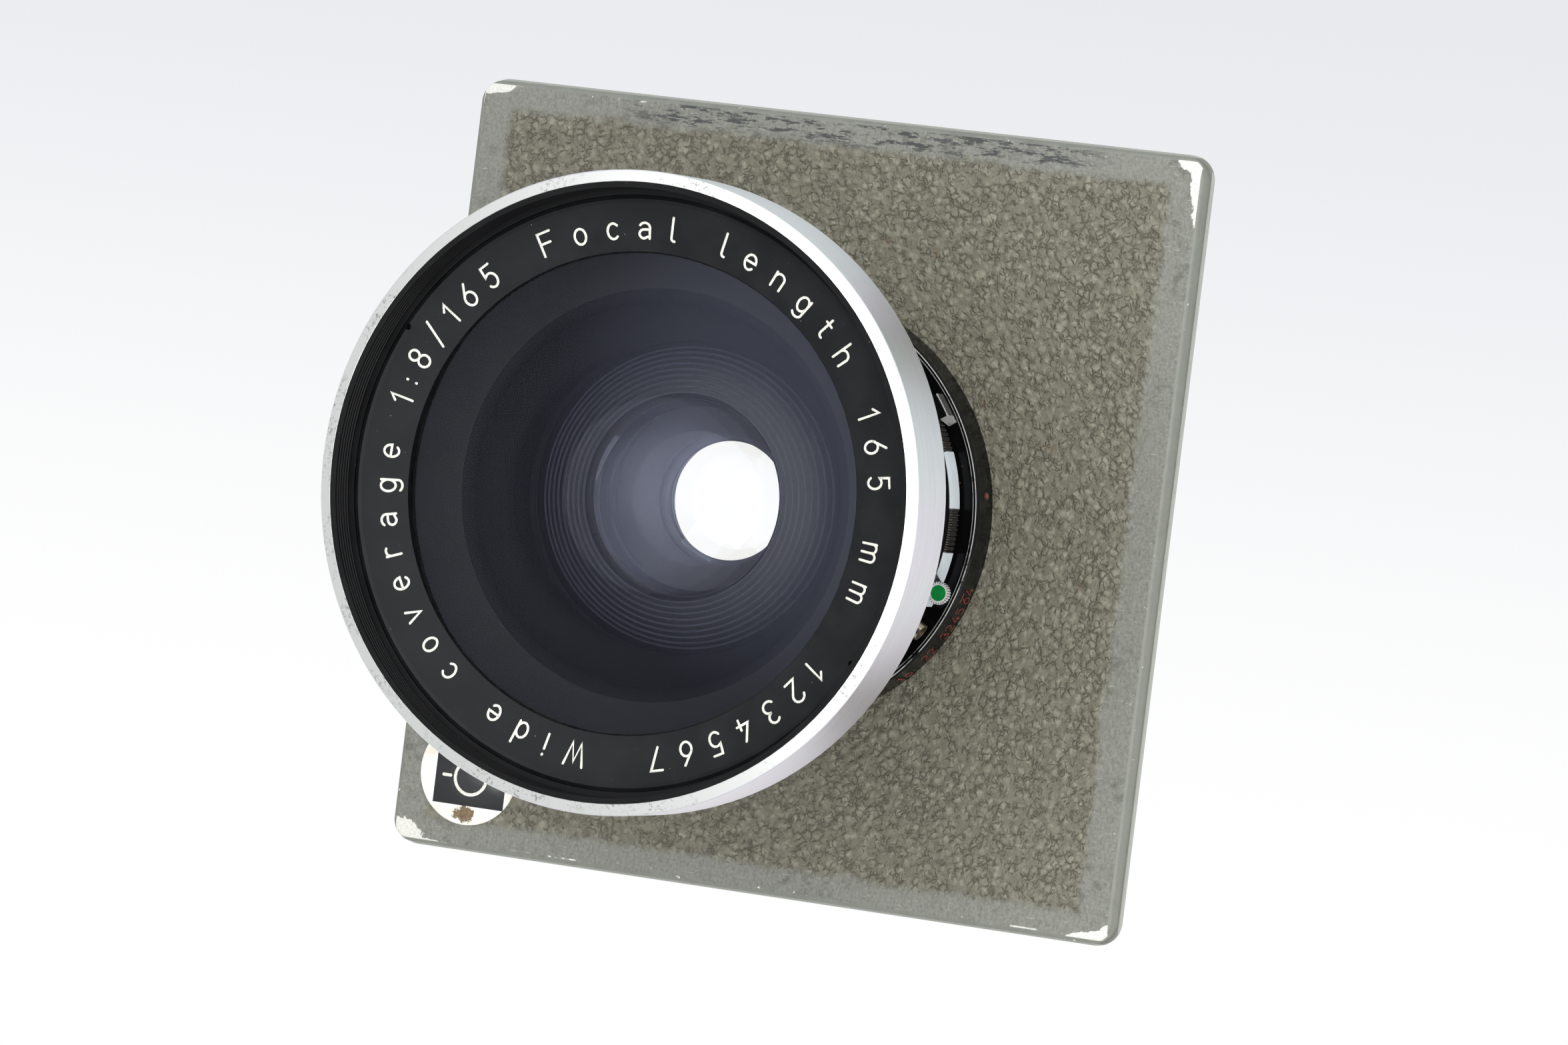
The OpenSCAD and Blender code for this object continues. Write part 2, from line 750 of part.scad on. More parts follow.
module sync_socket() {
  collar_r = 2.05;
  collar_l = 1.1;
  foot_w = 2.4;
  color([0.66, 0.64, 0.58])
    on_seat() difference() {
      union() {
        radial(socket_root_r, socket_deg, socket_z) cylinder(r = socket_r, h = 4.3);
        radial(socket_root_r, socket_deg, socket_z) cylinder(r = collar_r, h = collar_l);
        rotate(socket_deg) translate([socket_root_r, -foot_w / 2, cover_top_z])
          cube([collar_l, foot_w, socket_z - cover_top_z - socket_in_r - 0.1]);
      }
      radial(socket_root_r + 0.6, socket_deg, socket_z) cylinder(r = socket_in_r, h = 5);
    }
}

module sync_insulator() {
  color([0.5, 0.16, 0.08])
    on_seat() radial(socket_root_r + 0.65, socket_deg, socket_z) tube(0.37, socket_in_r - 0.02, 0, 2.9);
}

module sync_contact() {
  color([0.80, 0.68, 0.35])
    on_seat() radial(socket_root_r + 0.65, socket_deg, socket_z) cylinder(r = 0.35, h = 3.2);
}

module cable_socket() {
  color([0.6, 0.6, 0.61])
    on_seat() radial(35.2, cable_deg, cable_z) difference() {
      union() {
        cylinder(r = cable_r, h = 9.2);
        translate([0, 0, 7.6]) cylinder(r = 2.5, h = 1.8);
      }
      translate([0, 0, -1]) cylinder(r = cable_bore_r, h = 12);
      translate([0, 0, 5]) cylinder(r = cable_thread_r, h = 12);
    }
}

module cable_plunger() {
  color([0.7, 0.7, 0.71])
    on_seat() radial(35.0, cable_deg, cable_z) {
      cylinder(r = 0.9, h = 2.6);
      translate([0, 0, 2.5]) cylinder(r = cable_bore_r - 0.07, h = 1.6);
    }
}

module release_lever() {
  p = release_pivot_at;
  color([0.07, 0.07, 0.075])
    on_seat() rotate(p[1]) {
      translate([0, 0, lever_z]) linear_extrude(lever_t) difference() {
        union() {
          translate([p[0], 0]) circle(2);
          translate([p[0], -1.3]) square([9, 2.6]);
        }
        translate([p[0], 0]) circle(0.85);
      }
      translate([41.2, -2.4, lever_z]) cube([1.6, 4.8, 2.6]);
    }
}

module release_pivot() {
  color([0.6, 0.6, 0.62])
    on_seat() at(release_pivot_at[0], release_pivot_at[1]) {
      drum(0.78, cover_z + 0.05, lever_z + lever_t + 0.1);
      drum(1.4, lever_z + lever_t + 0.05, lever_z + lever_t + 0.25);
    }
}

module detent_spring() {
  color([0.66, 0.66, 0.68])
    on_seat() {
      sector(29.6, 30.8, 215, 246, cover_top_z, cover_top_z + 0.3);
      at(30.2, 244, cover_top_z + 0.2) cylinder(r1 = 0.55, r2 = 0.3, h = 0.95);
    }
}

// ---- front cell ----

module front_barrel() {
  seat_z = meniscus_foot_z;
  shoulder_z = front_tube_top_z - seat_depth + 0.1;
  spigot_z = shoulder_z - 7.6;
  outer = [[20.2, spigot_z], [front_tube_in_r - 0.05, spigot_z], [front_tube_in_r - 0.05, shoulder_z],
           [25.5, shoulder_z], [25.5, 19], [30, 20.5], [30, 24], [38, 40], [47, 56], [47, 62],
           [barrel_r, 66], [barrel_r, front_rim_z]];
  thread = flanks(filter_r, filter_r + thread_depth, filter_z, 5);
  inner = [[51, filter_z - 0.1], [51, 71.5], [meniscus_r + 0.1, 71.5], [meniscus_r + 0.1, seat_z - 0.05],
           [36, seat_z - 0.05], [36, front_ledge_z],
           [doublet_r + 0.05, front_ledge_z], [doublet_r + 0.05, 29],
           [22.8, 29], [22.8, 27], [20.2, 23]];
  top = [[filter_r, front_rim_z]];
  down = [for (i = [len(thread) - 1 : -1 : 0]) thread[i]];
  color([0.05, 0.05, 0.055])
    on_board() turned(concat(outer, top, down, inner));
}

module filter_sleeve() {
  foot_z = 83 - sleeve_len;
  color([0.82, 0.83, 0.84])
    on_board() turned([[barrel_r + 0.05, foot_z], [sleeve_r - 0.5, foot_z], [sleeve_r, foot_z + 0.6],
                       [sleeve_r, 82.2], [sleeve_r - 0.15, 82.35], [barrel_r + 0.1, 83],
                       [barrel_r + 0.05, 82.95]]);
}

module name_ring() {
  color([0.06, 0.06, 0.065])
    on_board() difference() {
      turned([[name_ring_r, 75.58], [meniscus_r + 0.3, 75.08], [45, 74.4], [48.8, 74.4], [48.8, 71.7],
              [50.95, 71.7], [50.95, 76.9], [50.3, 77.2], [49.7, 77.0], [name_ring_r, 75.95]]);
      for (a = [152, 332]) {
        at(50.2, a, 75.6) cylinder(r = 0.55, h = 3);
      }
    }
}

module front_meniscus() {
  color([0.35, 0.38, 0.5, 0.5])
    on_board() difference() {
      intersection() {
        drum(meniscus_r, meniscus_foot_z, meniscus_vertex_z + 1);
        translate([0, 0, meniscus_vertex_z - meniscus_front_R]) sphere(meniscus_front_R);
      }
      translate([0, 0, meniscus_vertex_z - meniscus_t - meniscus_back_R]) sphere(meniscus_back_R);
    }
}

module front_baffle() {
  r0 = 24;
  foot_z = front_ledge_z + 0.1;
  steps = stairs(r0, foot_z + 1, 1.25, 0.75);
  wide = steps[len(steps) - 1];
  color([0.07, 0.07, 0.075])
    on_board() turned(concat([[35.9, foot_z], [35.9, 57.5], [35.2, 57.5], [wide[0] + 0.4, wide[1]]],
                             [for (i = [len(steps) - 1 : -1 : 0]) steps[i]], [[r0, foot_z]]));
}

module front_crown() {
  color([0.55, 0.6, 0.65, 0.5])
    on_board() intersection() {
      drum(doublet_r, 30, 47);
      translate([0, 0, doublet_front_z - doublet_front_R]) sphere(doublet_front_R);
      translate([0, 0, doublet_joint_z + doublet_joint_R]) sphere(doublet_joint_R);
    }
}

module front_flint() {
  color([0.6, 0.6, 0.55, 0.5])
    on_board() difference() {
      intersection() {
        drum(doublet_r, 27, 38);
        translate([0, 0, doublet_back_z + doublet_back_R]) sphere(doublet_back_R);
      }
      translate([0, 0, doublet_joint_z + doublet_joint_R]) sphere(doublet_joint_R + cement);
      drum(doublet_r + 1, 37.9, 40);
    }
}

module front_doublet_ring() {
  top_z = front_ledge_z - 1.8;
  in_r = doublet_r - 1;
  color([0.08, 0.08, 0.085])
    on_board() difference() {
      turned([[in_r, top_z - 2.2], [doublet_r, top_z - 2.65], [doublet_r, top_z],
              [in_r + 0.4, top_z], [in_r, top_z - 0.4]]);
      for (a = [30, 210]) {
        rotate(a) translate([in_r - 0.5, -0.6, top_z - 0.8]) cube([3, 1.2, 2]);
      }
    }
}

// ---- rear cell ----

module rear_barrel() {
  foot_z = -rear_depth;
  spigot_z = -seat_depth - 0.6;
  shoulder_z = tube_end_z - seat_depth - 0.3;
  color([0.05, 0.05, 0.055])
    on_board() turned([[19.3, spigot_z], [tube_in_r - 0.05, spigot_z], [tube_in_r - 0.05, shoulder_z],
                       [27, shoulder_z], [27, -14], [37, -30], [rear_rim_r, -38], [rear_rim_r, foot_z + 0.6],
                       [rear_rim_r - 0.6, foot_z], [36.8, foot_z], [36, foot_z + 0.8], [36, -41.2],
                       [rear_meniscus_r + 0.1, -41.2], [rear_meniscus_r + 0.1, rear_meniscus_head_z + 0.05],
                       [31, rear_meniscus_head_z + 0.05], [31, rear_ledge_z],
                       [rear_doublet_r + 0.05, rear_ledge_z], [rear_doublet_r + 0.05, rear_seat_z],
                       [19.3, rear_seat_z]]);
}

module rear_flint() {
  color([0.6, 0.6, 0.55, 0.5])
    on_board() difference() {
      intersection() {
        drum(rear_doublet_r, -20.6, -11);
        translate([0, 0, rear_flint_z - doublet_back_R]) sphere(doublet_back_R);
      }
      translate([0, 0, rear_joint_z - doublet_joint_R]) sphere(doublet_joint_R + cement);
      drum(rear_doublet_r + 1, -21, -20);
    }
}

module rear_crown() {
  color([0.55, 0.6, 0.65, 0.5])
    on_board() intersection() {
      drum(rear_doublet_r, -29, -15);
      translate([0, 0, rear_joint_z - doublet_joint_R]) sphere(doublet_joint_R);
      translate([0, 0, rear_crown_z + rear_crown_R]) sphere(rear_crown_R);
    }
}

module rear_doublet_ring() {
  foot_z = rear_ledge_z + 0.3;
  in_r = rear_doublet_r - 1.1;
  color([0.08, 0.08, 0.085])
    on_board() difference() {
      turned([[in_r, foot_z + 2.45], [rear_doublet_r, foot_z + 2.95], [rear_doublet_r, foot_z],
              [in_r + 0.4, foot_z], [in_r, foot_z + 0.4]]);
      for (a = [30, 210]) {
        rotate(a) translate([in_r - 0.4, -0.6, foot_z - 0.7]) cube([3, 1.2, 1.6]);
      }
    }
}

module rear_baffle() {
  r0 = 23;
  top_z = rear_ledge_z - 0.1;
  steps = stairs(r0, top_z - 0.7, 0.6, -0.45);
  wide = steps[len(steps) - 1];
  color([0.07, 0.07, 0.075])
    on_board() turned(concat([[30.9, top_z], [30.9, -31.4], [29.8, -31.4], [wide[0] + 0.3, wide[1]]],
                             [for (i = [len(steps) - 1 : -1 : 0]) steps[i]], [[r0, top_z]]));
}

module rear_meniscus() {
  color([0.35, 0.38, 0.5, 0.5])
    on_board() difference() {
      intersection() {
        drum(rear_meniscus_r, rear_meniscus_out_z - 1, rear_meniscus_head_z);
        translate([0, 0, rear_meniscus_out_z + rear_meniscus_out_R]) sphere(rear_meniscus_out_R);
      }
      translate([0, 0, rear_meniscus_in_z + rear_meniscus_in_R]) sphere(rear_meniscus_in_R);
    }
}

module rear_retaining_ring() {
  color([0.08, 0.08, 0.085])
    on_board() difference() {
      turned([[32, -41.9], [35.95, -41.4], [35.95, -45], [33.4, -45], [32, -43.6]]);
      for (a = [90, 270]) {
        rotate(a) translate([33, -0.8, -46]) cube([4, 1.6, 2]);
      }
    }
}

lens_board();
board_badge();
board_retaining_ring();
locating_screw();
shutter_housing();
iris_blade(0);  // iris_blade_1
iris_blade(1);  // iris_blade_2
iris_blade(2);  // iris_blade_3
iris_blade(3);  // iris_blade_4
iris_blade(4);  // iris_blade_5
iris_ring();
aperture_ring();
blade_plate();
shutter_blade(0);  // shutter_blade_1
shutter_blade(1);  // shutter_blade_2
shutter_blade(2);  // shutter_blade_3
shutter_blade(3);  // shutter_blade_4
shutter_blade(4);  // shutter_blade_5
shutter_ring();
mechanism_pillars();
mechanism_plate();
mechanism_screws();
front_cover();
cover_screws();
cocking_ring();
speed_ring();
speed_retainer();
sync_lever();
sync_knob();
sync_enamel();
sync_pivot_screw();
sync_socket();
sync_insulator();
sync_contact();
cable_socket();
cable_plunger();
release_lever();
release_pivot();
detent_spring();
shutter_spring();
gear_1();
gear_2();
escape_wheel();
pallet();
front_barrel();
filter_sleeve();
name_ring();
front_meniscus();
front_baffle();
front_crown();
front_flint();
front_doublet_ring();
rear_barrel();
rear_crown();
rear_flint();
rear_doublet_ring();
rear_baffle();
rear_meniscus();
rear_retaining_ring();
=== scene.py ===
"""The looks of a wide-angle view-camera lens in a leaf shutter on its square lens board.

Lengths are in millimetres and are scaled by MM where they become metres. Heights are from the rear rim, as in
the frame. Angles are in degrees, anticlockwise from +X as seen from the front.
"""

import math

import bpy
from mathutils import Matrix, Vector


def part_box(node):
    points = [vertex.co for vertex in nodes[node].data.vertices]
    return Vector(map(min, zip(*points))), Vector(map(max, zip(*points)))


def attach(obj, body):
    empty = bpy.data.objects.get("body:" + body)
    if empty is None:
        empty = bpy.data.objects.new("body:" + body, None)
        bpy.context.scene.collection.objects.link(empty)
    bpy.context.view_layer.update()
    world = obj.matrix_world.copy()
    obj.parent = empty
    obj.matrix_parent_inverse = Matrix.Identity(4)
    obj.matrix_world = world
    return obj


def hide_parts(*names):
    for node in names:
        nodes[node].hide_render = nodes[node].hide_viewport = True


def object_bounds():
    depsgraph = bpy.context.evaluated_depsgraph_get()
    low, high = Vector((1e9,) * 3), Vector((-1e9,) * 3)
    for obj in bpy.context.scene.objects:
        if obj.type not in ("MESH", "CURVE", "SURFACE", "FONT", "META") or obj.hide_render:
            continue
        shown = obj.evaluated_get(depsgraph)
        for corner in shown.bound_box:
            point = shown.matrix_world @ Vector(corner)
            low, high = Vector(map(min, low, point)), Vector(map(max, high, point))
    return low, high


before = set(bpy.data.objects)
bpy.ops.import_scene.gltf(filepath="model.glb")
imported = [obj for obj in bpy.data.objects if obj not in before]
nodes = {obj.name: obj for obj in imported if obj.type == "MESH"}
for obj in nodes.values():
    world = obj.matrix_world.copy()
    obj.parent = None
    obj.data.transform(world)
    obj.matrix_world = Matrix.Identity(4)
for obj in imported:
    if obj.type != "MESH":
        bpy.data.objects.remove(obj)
cad_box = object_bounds()
scene = bpy.context.scene

MM = 0.001


def low(node, axis):
    """A CAD node's lowest place along an axis, in millimetres."""
    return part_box(node)[0][axis] / MM


def high(node, axis):
    """A CAD node's highest place along an axis, in millimetres."""
    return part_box(node)[1][axis] / MM


X, Y, Z = range(3)
BOARD_FRONT = round(high("lens_board", Z), 3)
SHUTTER_SEAT = BOARD_FRONT - 2.3
BOARD_LIP = 0.5
BOARD_HALF = high("lens_board", X) - BOARD_LIP
BADGE_X = (low("board_badge", X) + high("board_badge", X)) / 2
BADGE_Y = (low("board_badge", Y) + high("board_badge", Y)) / 2
BADGE_TOP = high("board_badge", Z)
SLEEVE_TOP = high("filter_sleeve", Z)


def srgb(red, green, blue):
    """A colour given in the 0 to 255 steps of a colour chart, as linear light."""
    steps = (red / 255, green / 255, blue / 255)
    return tuple(s / 12.92 if s <= 0.04045 else ((s + 0.055) / 1.055) ** 2.4 for s in steps)


# ---------------------------------------------------------------- materials


class Surface:
    """A Principled material, and short ways to add nodes that read the place on the object in metres."""

    def __init__(self, name, colour, roughness, **sockets):
        self.material = bpy.data.materials.new(name)
        self.material.use_nodes = True
        self.tree = self.material.node_tree
        self.shader = self.tree.nodes["Principled BSDF"]
        self.shader.inputs["Base Color"].default_value = (*colour, 1.0)
        self.shader.inputs["Roughness"].default_value = roughness
        for socket, value in sockets.items():
            self.shader.inputs[socket.replace("_", " ")].default_value = value
        self.place = self.add("ShaderNodeTexCoord").outputs["Object"]
        split = self.add("ShaderNodeSeparateXYZ")
        self.tree.links.new(self.place, split.inputs[0])
        self.x, self.y, self.z = split.outputs

    def add(self, kind, **properties):
        node = self.tree.nodes.new(kind)
        for name, value in properties.items():
            setattr(node, name, value)
        return node

    def feed(self, socket, value):
        """Puts a number, a colour or another node's output into a socket."""
        if isinstance(value, bpy.types.NodeSocket):
            self.tree.links.new(value, socket)
        else:
            socket.default_value = (*value, 1.0) if isinstance(value, tuple) else value

    def math(self, operation, *values):
        node = self.add("ShaderNodeMath", operation=operation)
        for socket, value in zip(node.inputs, values):
            self.feed(socket, value)
        return node.outputs[0]

    def times(self, *values):
        """The product of two or more values."""
        result = values[0]
        for value in values[1:]:
            result = self.math("MULTIPLY", result, value)
        return result

    def plus(self, a, b):
        return self.math("ADD", a, b)

    def minus(self, a, b):
        return self.math("SUBTRACT", a, b)

    def most(self, a, b):
        return self.math("MAXIMUM", a, b)

    def least(self, a, b):
        return self.math("MINIMUM", a, b)

    def ramp(self, value, start, end, begin=0.0, finish=1.0):
        """Begin where value is at start, finish where it is at end, and a smooth step in between."""
        node = self.add("ShaderNodeMapRange", interpolation_type="SMOOTHSTEP")
        self.feed(node.inputs["Value"], value)
        node.inputs["From Min"].default_value = min(start, end)
        node.inputs["From Max"].default_value = max(start, end)
        node.inputs["To Min"].default_value = begin if start < end else finish
        node.inputs["To Max"].default_value = finish if start < end else begin
        return node.outputs["Result"]

    def stretched(self, scale, offset=(0, 0, 0)):
        """The place, scaled and moved: a small scale draws a pattern out along that axis."""
        node = self.add("ShaderNodeMapping")
        self.tree.links.new(self.place, node.inputs["Vector"])
        node.inputs["Scale"].default_value = scale
        node.inputs["Location"].default_value = offset
        return node.outputs[0]

    def noise(self, size_mm, detail=2.0, place=None, seed=0.0, harsh=0.5):
        """Cloudy noise from 0 to 1 whose blobs are about size_mm across."""
        node = self.add("ShaderNodeTexNoise", noise_dimensions="4D")
        self.tree.links.new(place or self.place, node.inputs["Vector"])
        node.inputs["Scale"].default_value = 1 / (size_mm * MM)
        node.inputs["Detail"].default_value = detail
        node.inputs["Roughness"].default_value = harsh
        node.inputs["W"].default_value = seed
        return node.outputs["Fac"]

    def cells(self, size_mm, feature="F1", place=None, output="Distance"):
        """A pattern of cells about size_mm across."""
        node = self.add("ShaderNodeTexVoronoi", feature=feature)
        self.tree.links.new(place or self.place, node.inputs["Vector"])
        node.inputs["Scale"].default_value = 1 / (size_mm * MM)
        return node.outputs[output]

    def shaken(self, size_mm, reach_mm):
        """The place, moved about by noise."""
        node = self.add("ShaderNodeTexNoise")
        self.tree.links.new(self.place, node.inputs["Vector"])
        node.inputs["Scale"].default_value = 1 / (size_mm * MM)
        node.inputs["Detail"].default_value = 2.0
        centred = self.add("ShaderNodeVectorMath", operation="SUBTRACT")
        self.tree.links.new(node.outputs["Color"], centred.inputs[0])
        centred.inputs[1].default_value = (0.5, 0.5, 0.5)
        scaled = self.add("ShaderNodeVectorMath", operation="SCALE")
        self.tree.links.new(centred.outputs[0], scaled.inputs[0])
        scaled.inputs["Scale"].default_value = 2 * reach_mm * MM
        moved = self.add("ShaderNodeVectorMath", operation="ADD")
        self.tree.links.new(self.place, moved.inputs[0])
        self.tree.links.new(scaled.outputs[0], moved.inputs[1])
        return moved.outputs[0]

    def mix(self, factor, a, b):
        node = self.add("ShaderNodeMix", data_type="RGBA")
        self.feed(node.inputs["Factor"], factor)
        self.feed(node.inputs[6], a)
        self.feed(node.inputs[7], b)
        return node.outputs[2]

    def specks(self, size_mm, spacing_mm, share):
        """1 on scattered round specks of about size_mm, in that share of the cells spacing_mm wide."""
        near = self.ramp(self.cells(spacing_mm), 0.5 * size_mm / spacing_mm, 0.3 * size_mm / spacing_mm)
        chosen = self.add("ShaderNodeSeparateColor")
        self.tree.links.new(self.cells(spacing_mm, output="Color"), chosen.inputs[0])
        return self.times(near, self.math("LESS_THAN", chosen.outputs[0], share))

    def radius(self):
        """The distance from the lens's axis, in metres."""
        return self.math("SQRT", self.plus(self.times(self.x, self.x), self.times(self.y, self.y)))

    def angle(self):
        """The angle round the axis, in degrees from -180 to 180."""
        return self.times(self.math("ARCTAN2", self.y, self.x), 180 / math.pi)

    def within(self, value, start, end, soft):
        """1 where value is between start and end, falling to 0 over soft outside it."""
        return self.times(self.ramp(value, start - soft, start), self.ramp(value, end + soft, end))

    def colour(self, value):
        self.feed(self.shader.inputs["Base Color"], value)

    def roughness(self, value):
        self.feed(self.shader.inputs["Roughness"], value)

    def bump(self, height, depth_mm, strength=1.0):
        """Bumps of depth_mm where height goes from 0 to 1, added to those already there."""
        node = self.add("ShaderNodeBump")
        node.inputs["Strength"].default_value = strength
        node.inputs["Distance"].default_value = depth_mm * MM
        self.feed(node.inputs["Height"], height)
        before = self.shader.inputs["Normal"].links
        if before:
            self.tree.links.new(before[0].from_socket, node.inputs["Normal"])
        self.tree.links.new(node.outputs[0], self.shader.inputs["Normal"])


def rubbed_corner(s, right, up, side_x, side_y, along_x, along_y, ragged):
    """1 on a quarter oval of one board corner, along_x by along_y millimetres, with a ragged outline."""
    on_side = s.math("GREATER_THAN", s.times(s.x, right), 0.0)
    here = s.times(on_side, s.math("GREATER_THAN", s.times(s.y, up), 0.0))
    far_x = s.times(side_x, 1 / (along_x * MM))
    far_y = s.times(side_y, 1 / (along_y * MM))
    far = s.plus(s.plus(s.times(far_x, far_x), s.times(far_y, far_y)), ragged)
    return s.times(here, s.ramp(far, 1.04, 0.94))


# Bare metal at the board's corners: which corner (right, up), and the ovals rubbed through along x and y.
RUBBED = (
    ((-1, 1), ((7.5, 2.6), (0.9, 6.6), (19.0, 0.75))),
    ((1, 1), ((2.6, 12.0), (5.0, 3.2))),
    ((1, -1), ((9.0, 2.4), (2.4, 4.0))),
    ((-1, -1), ((6.4, 4.4), (12.0, 1.2))),
)


# The size of the paint's wrinkles and of the fine grain on them.
WRINKLE = 1.45
FINE = 0.33


def wrinkled_paint(s):
    """The board's thick paint: its colour, with a painted highlight on the lumps and painted shade in the
    creases, and the height of its wrinkles.
    """
    shaken = s.shaken(1.1, 0.6)
    lump = s.ramp(s.cells(WRINKLE, "SMOOTH_F1", shaken), 0.6, 0.1)
    deep = s.ramp(s.noise(1.5, 2, seed=4.0), 0.4, 0.62)
    valley = s.times(s.ramp(s.cells(WRINKLE, "DISTANCE_TO_EDGE", shaken), 0.2, 0.0), deep)
    fold = s.ramp(s.math("ABSOLUTE", s.minus(s.noise(1.5, 1, shaken, 9.0), 0.5)), 0.05, 0.0)
    fold = s.times(fold, s.ramp(s.noise(2.1, 2, seed=6.0), 0.45, 0.6))
    crease = s.most(valley, fold)
    # Painted highlight: the tops of the lumps are painted paler, as if lit.
    lump_highlight = s.times(lump, s.ramp(s.noise(2.0, 3, seed=5.0), 0.35, 0.65))
    colour = s.mix(lump_highlight, srgb(97, 94, 79), srgb(130, 128, 111))
    # Painted shade: the creases are painted dark brown, as if in shadow.
    colour = s.mix(s.times(crease, 0.85), colour, srgb(60, 55, 41))
    colour = s.mix(s.times(s.ramp(s.noise(FINE, 3), 0.4, 0.75), 0.25), colour, srgb(144, 142, 126))
    swell = s.plus(s.times(lump, 0.75), s.times(s.noise(0.9, 2, shaken), 0.3))
    return colour, s.minus(swell, s.times(crease, 0.6))


def smooth_paint(s):
    """The colour of the same paint where hands have rubbed it smooth, with fibres and dark smudges."""
    colour = s.mix(s.ramp(s.noise(0.55, 4, harsh=0.7), 0.3, 0.7), srgb(106, 107, 99), srgb(133, 133, 125))
    fibres = s.noise(0.5, 4, s.stretched((1.0, 0.35, 1.0)), 13.0, 0.7)
    colour = s.mix(s.times(s.ramp(fibres, 0.48, 0.68), 0.65), colour, srgb(86, 86, 76))
    broad = s.ramp(s.noise(16, 2, seed=8.0), 0.42, 0.62)
    smudge = s.times(s.ramp(s.noise(2.2, 4, seed=7.0, harsh=0.7), 0.48, 0.66), broad)
    return s.mix(s.times(smudge, 0.7), colour, srgb(76, 76, 68))


def stained(s, paint, front):
    """The paint with dark rubbing along the board's top edge and brown stains round the shutter."""
    along_top = s.within(s.x, -32 * MM, 42 * MM, 14 * MM)
    near_top = s.within(s.minus(BOARD_HALF * MM, s.y), 0.8 * MM, 3.6 * MM, 2.2 * MM)
    streaky = s.noise(0.9, 5, s.stretched((0.22, 1.0, 1.0)), seed=3.0, harsh=0.75)
    dark = s.times(s.ramp(streaky, 0.5, 0.57), along_top, near_top)
    paint = s.mix(s.times(dark, 0.9, front), paint, srgb(38, 39, 41))
    stain = s.times(s.ramp(s.noise(5, 3, seed=11.0), 0.6, 0.72), s.ramp(s.radius(), 66 * MM, 50 * MM))
    return s.mix(s.times(stain, 0.4), paint, srgb(92, 72, 48))


def bare_metal(s, side_x, side_y, front):
    """1 where the paint is gone: the corners, chips near the edges, and a thin line on the front's rim."""
    edge = s.least(side_x, side_y)
    ragged = s.times(s.minus(s.noise(1.9, 4, seed=5.0, harsh=0.65), 0.5), 1.5)
    corners = 0.0
    for (right, up), ovals in RUBBED:
        for along_x, along_y in ovals:
            oval = rubbed_corner(s, right, up, side_x, side_y, along_x, along_y, ragged)
            corners = s.most(corners, oval)
    inset = s.ramp(edge, 0.6 * MM, 0.8 * MM)
    chips = s.times(s.ramp(s.noise(1.1, 3, seed=9.0), 0.7, 0.72), s.ramp(edge, 2.0 * MM, 0.9 * MM))
    at_rim = s.within(edge, 0.95 * MM, 1.15 * MM, 0.08 * MM)
    thin = s.times(at_rim, s.ramp(s.noise(9, 4, seed=14.0, harsh=0.6), 0.6, 0.64))
    return s.times(s.most(s.times(corners, inset), s.most(chips, thin)), front)


def on_the_edges(s, paint, edge):
    """The paint, plainer on the board's sides and paler on the lip at its back."""
    below_face = s.ramp(s.z, (BOARD_FRONT - 0.3) * MM, (BOARD_FRONT - 0.7) * MM)
    wall = s.most(below_face, s.ramp(edge, 0.9 * MM, 0.7 * MM))
    plain = s.mix(s.noise(3, 4), srgb(104, 106, 97), srgb(126, 128, 119))
    paint = s.mix(s.times(wall, 0.8), paint, plain)
    lip = s.ramp(edge, 0.0, -0.2 * MM)
    return s.mix(s.times(lip, 0.7), paint, srgb(172, 174, 166))


def board_paint():
    """Leathery grey-green paint, rubbed smooth round the edges and down to bare metal at the corners."""
    s = Surface("board_paint_worn", srgb(125, 123, 108), 0.5)
    side_x = s.minus(BOARD_HALF * MM, s.math("ABSOLUTE", s.x))
    side_y = s.minus(BOARD_HALF * MM, s.math("ABSOLUTE", s.y))
    front = s.ramp(s.z, (BOARD_FRONT - 1.0) * MM, (BOARD_FRONT - 0.5) * MM)

    wander = s.times(s.minus(s.noise(8, 3, seed=2.0), 0.5), 3.4 * MM)
    from_edge = s.least(side_x, s.plus(side_y, 1.2 * MM))
    band = s.ramp(s.plus(from_edge, wander), 7.4 * MM, 5.2 * MM)
    # grain is the wrinkled paint's colour, with the painted highlight on its lumps and the painted shade in
    # its creases.
    grain, relief = wrinkled_paint(s)
    paint = stained(s, s.mix(s.times(band, 0.9), grain, smooth_paint(s)), front)
    streaks = s.noise(0.25, 1, s.stretched((0.08, 1.0, 1.0), (3, 0, 0)))
    scratches = s.times(s.ramp(streaks, 0.71, 0.73), band, front)
    paint = s.mix(s.times(scratches, 0.45), paint, srgb(198, 200, 193))
    paint = on_the_edges(s, paint, s.least(side_x, side_y))

    bare = bare_metal(s, side_x, side_y, front)
    tarnish = s.ramp(s.noise(0.4, 4, seed=12.0, harsh=0.7), 0.45, 0.72)
    s.colour(s.mix(bare, paint, s.mix(tarnish, srgb(214, 212, 204), srgb(176, 175, 168))))
    s.roughness(s.mix(s.most(bare, s.times(band, 0.6)), (0.52, 0.52, 0.52), (0.38, 0.38, 0.38)))
    s.bump(s.times(relief, s.minus(1.0, s.times(s.most(band, bare), 0.9))), 0.26, 0.85)
    s.bump(s.times(bare, -1.0), 0.06, 0.6)
    s.bump(s.noise(FINE, 3), 0.02, 0.4)
    return s.material


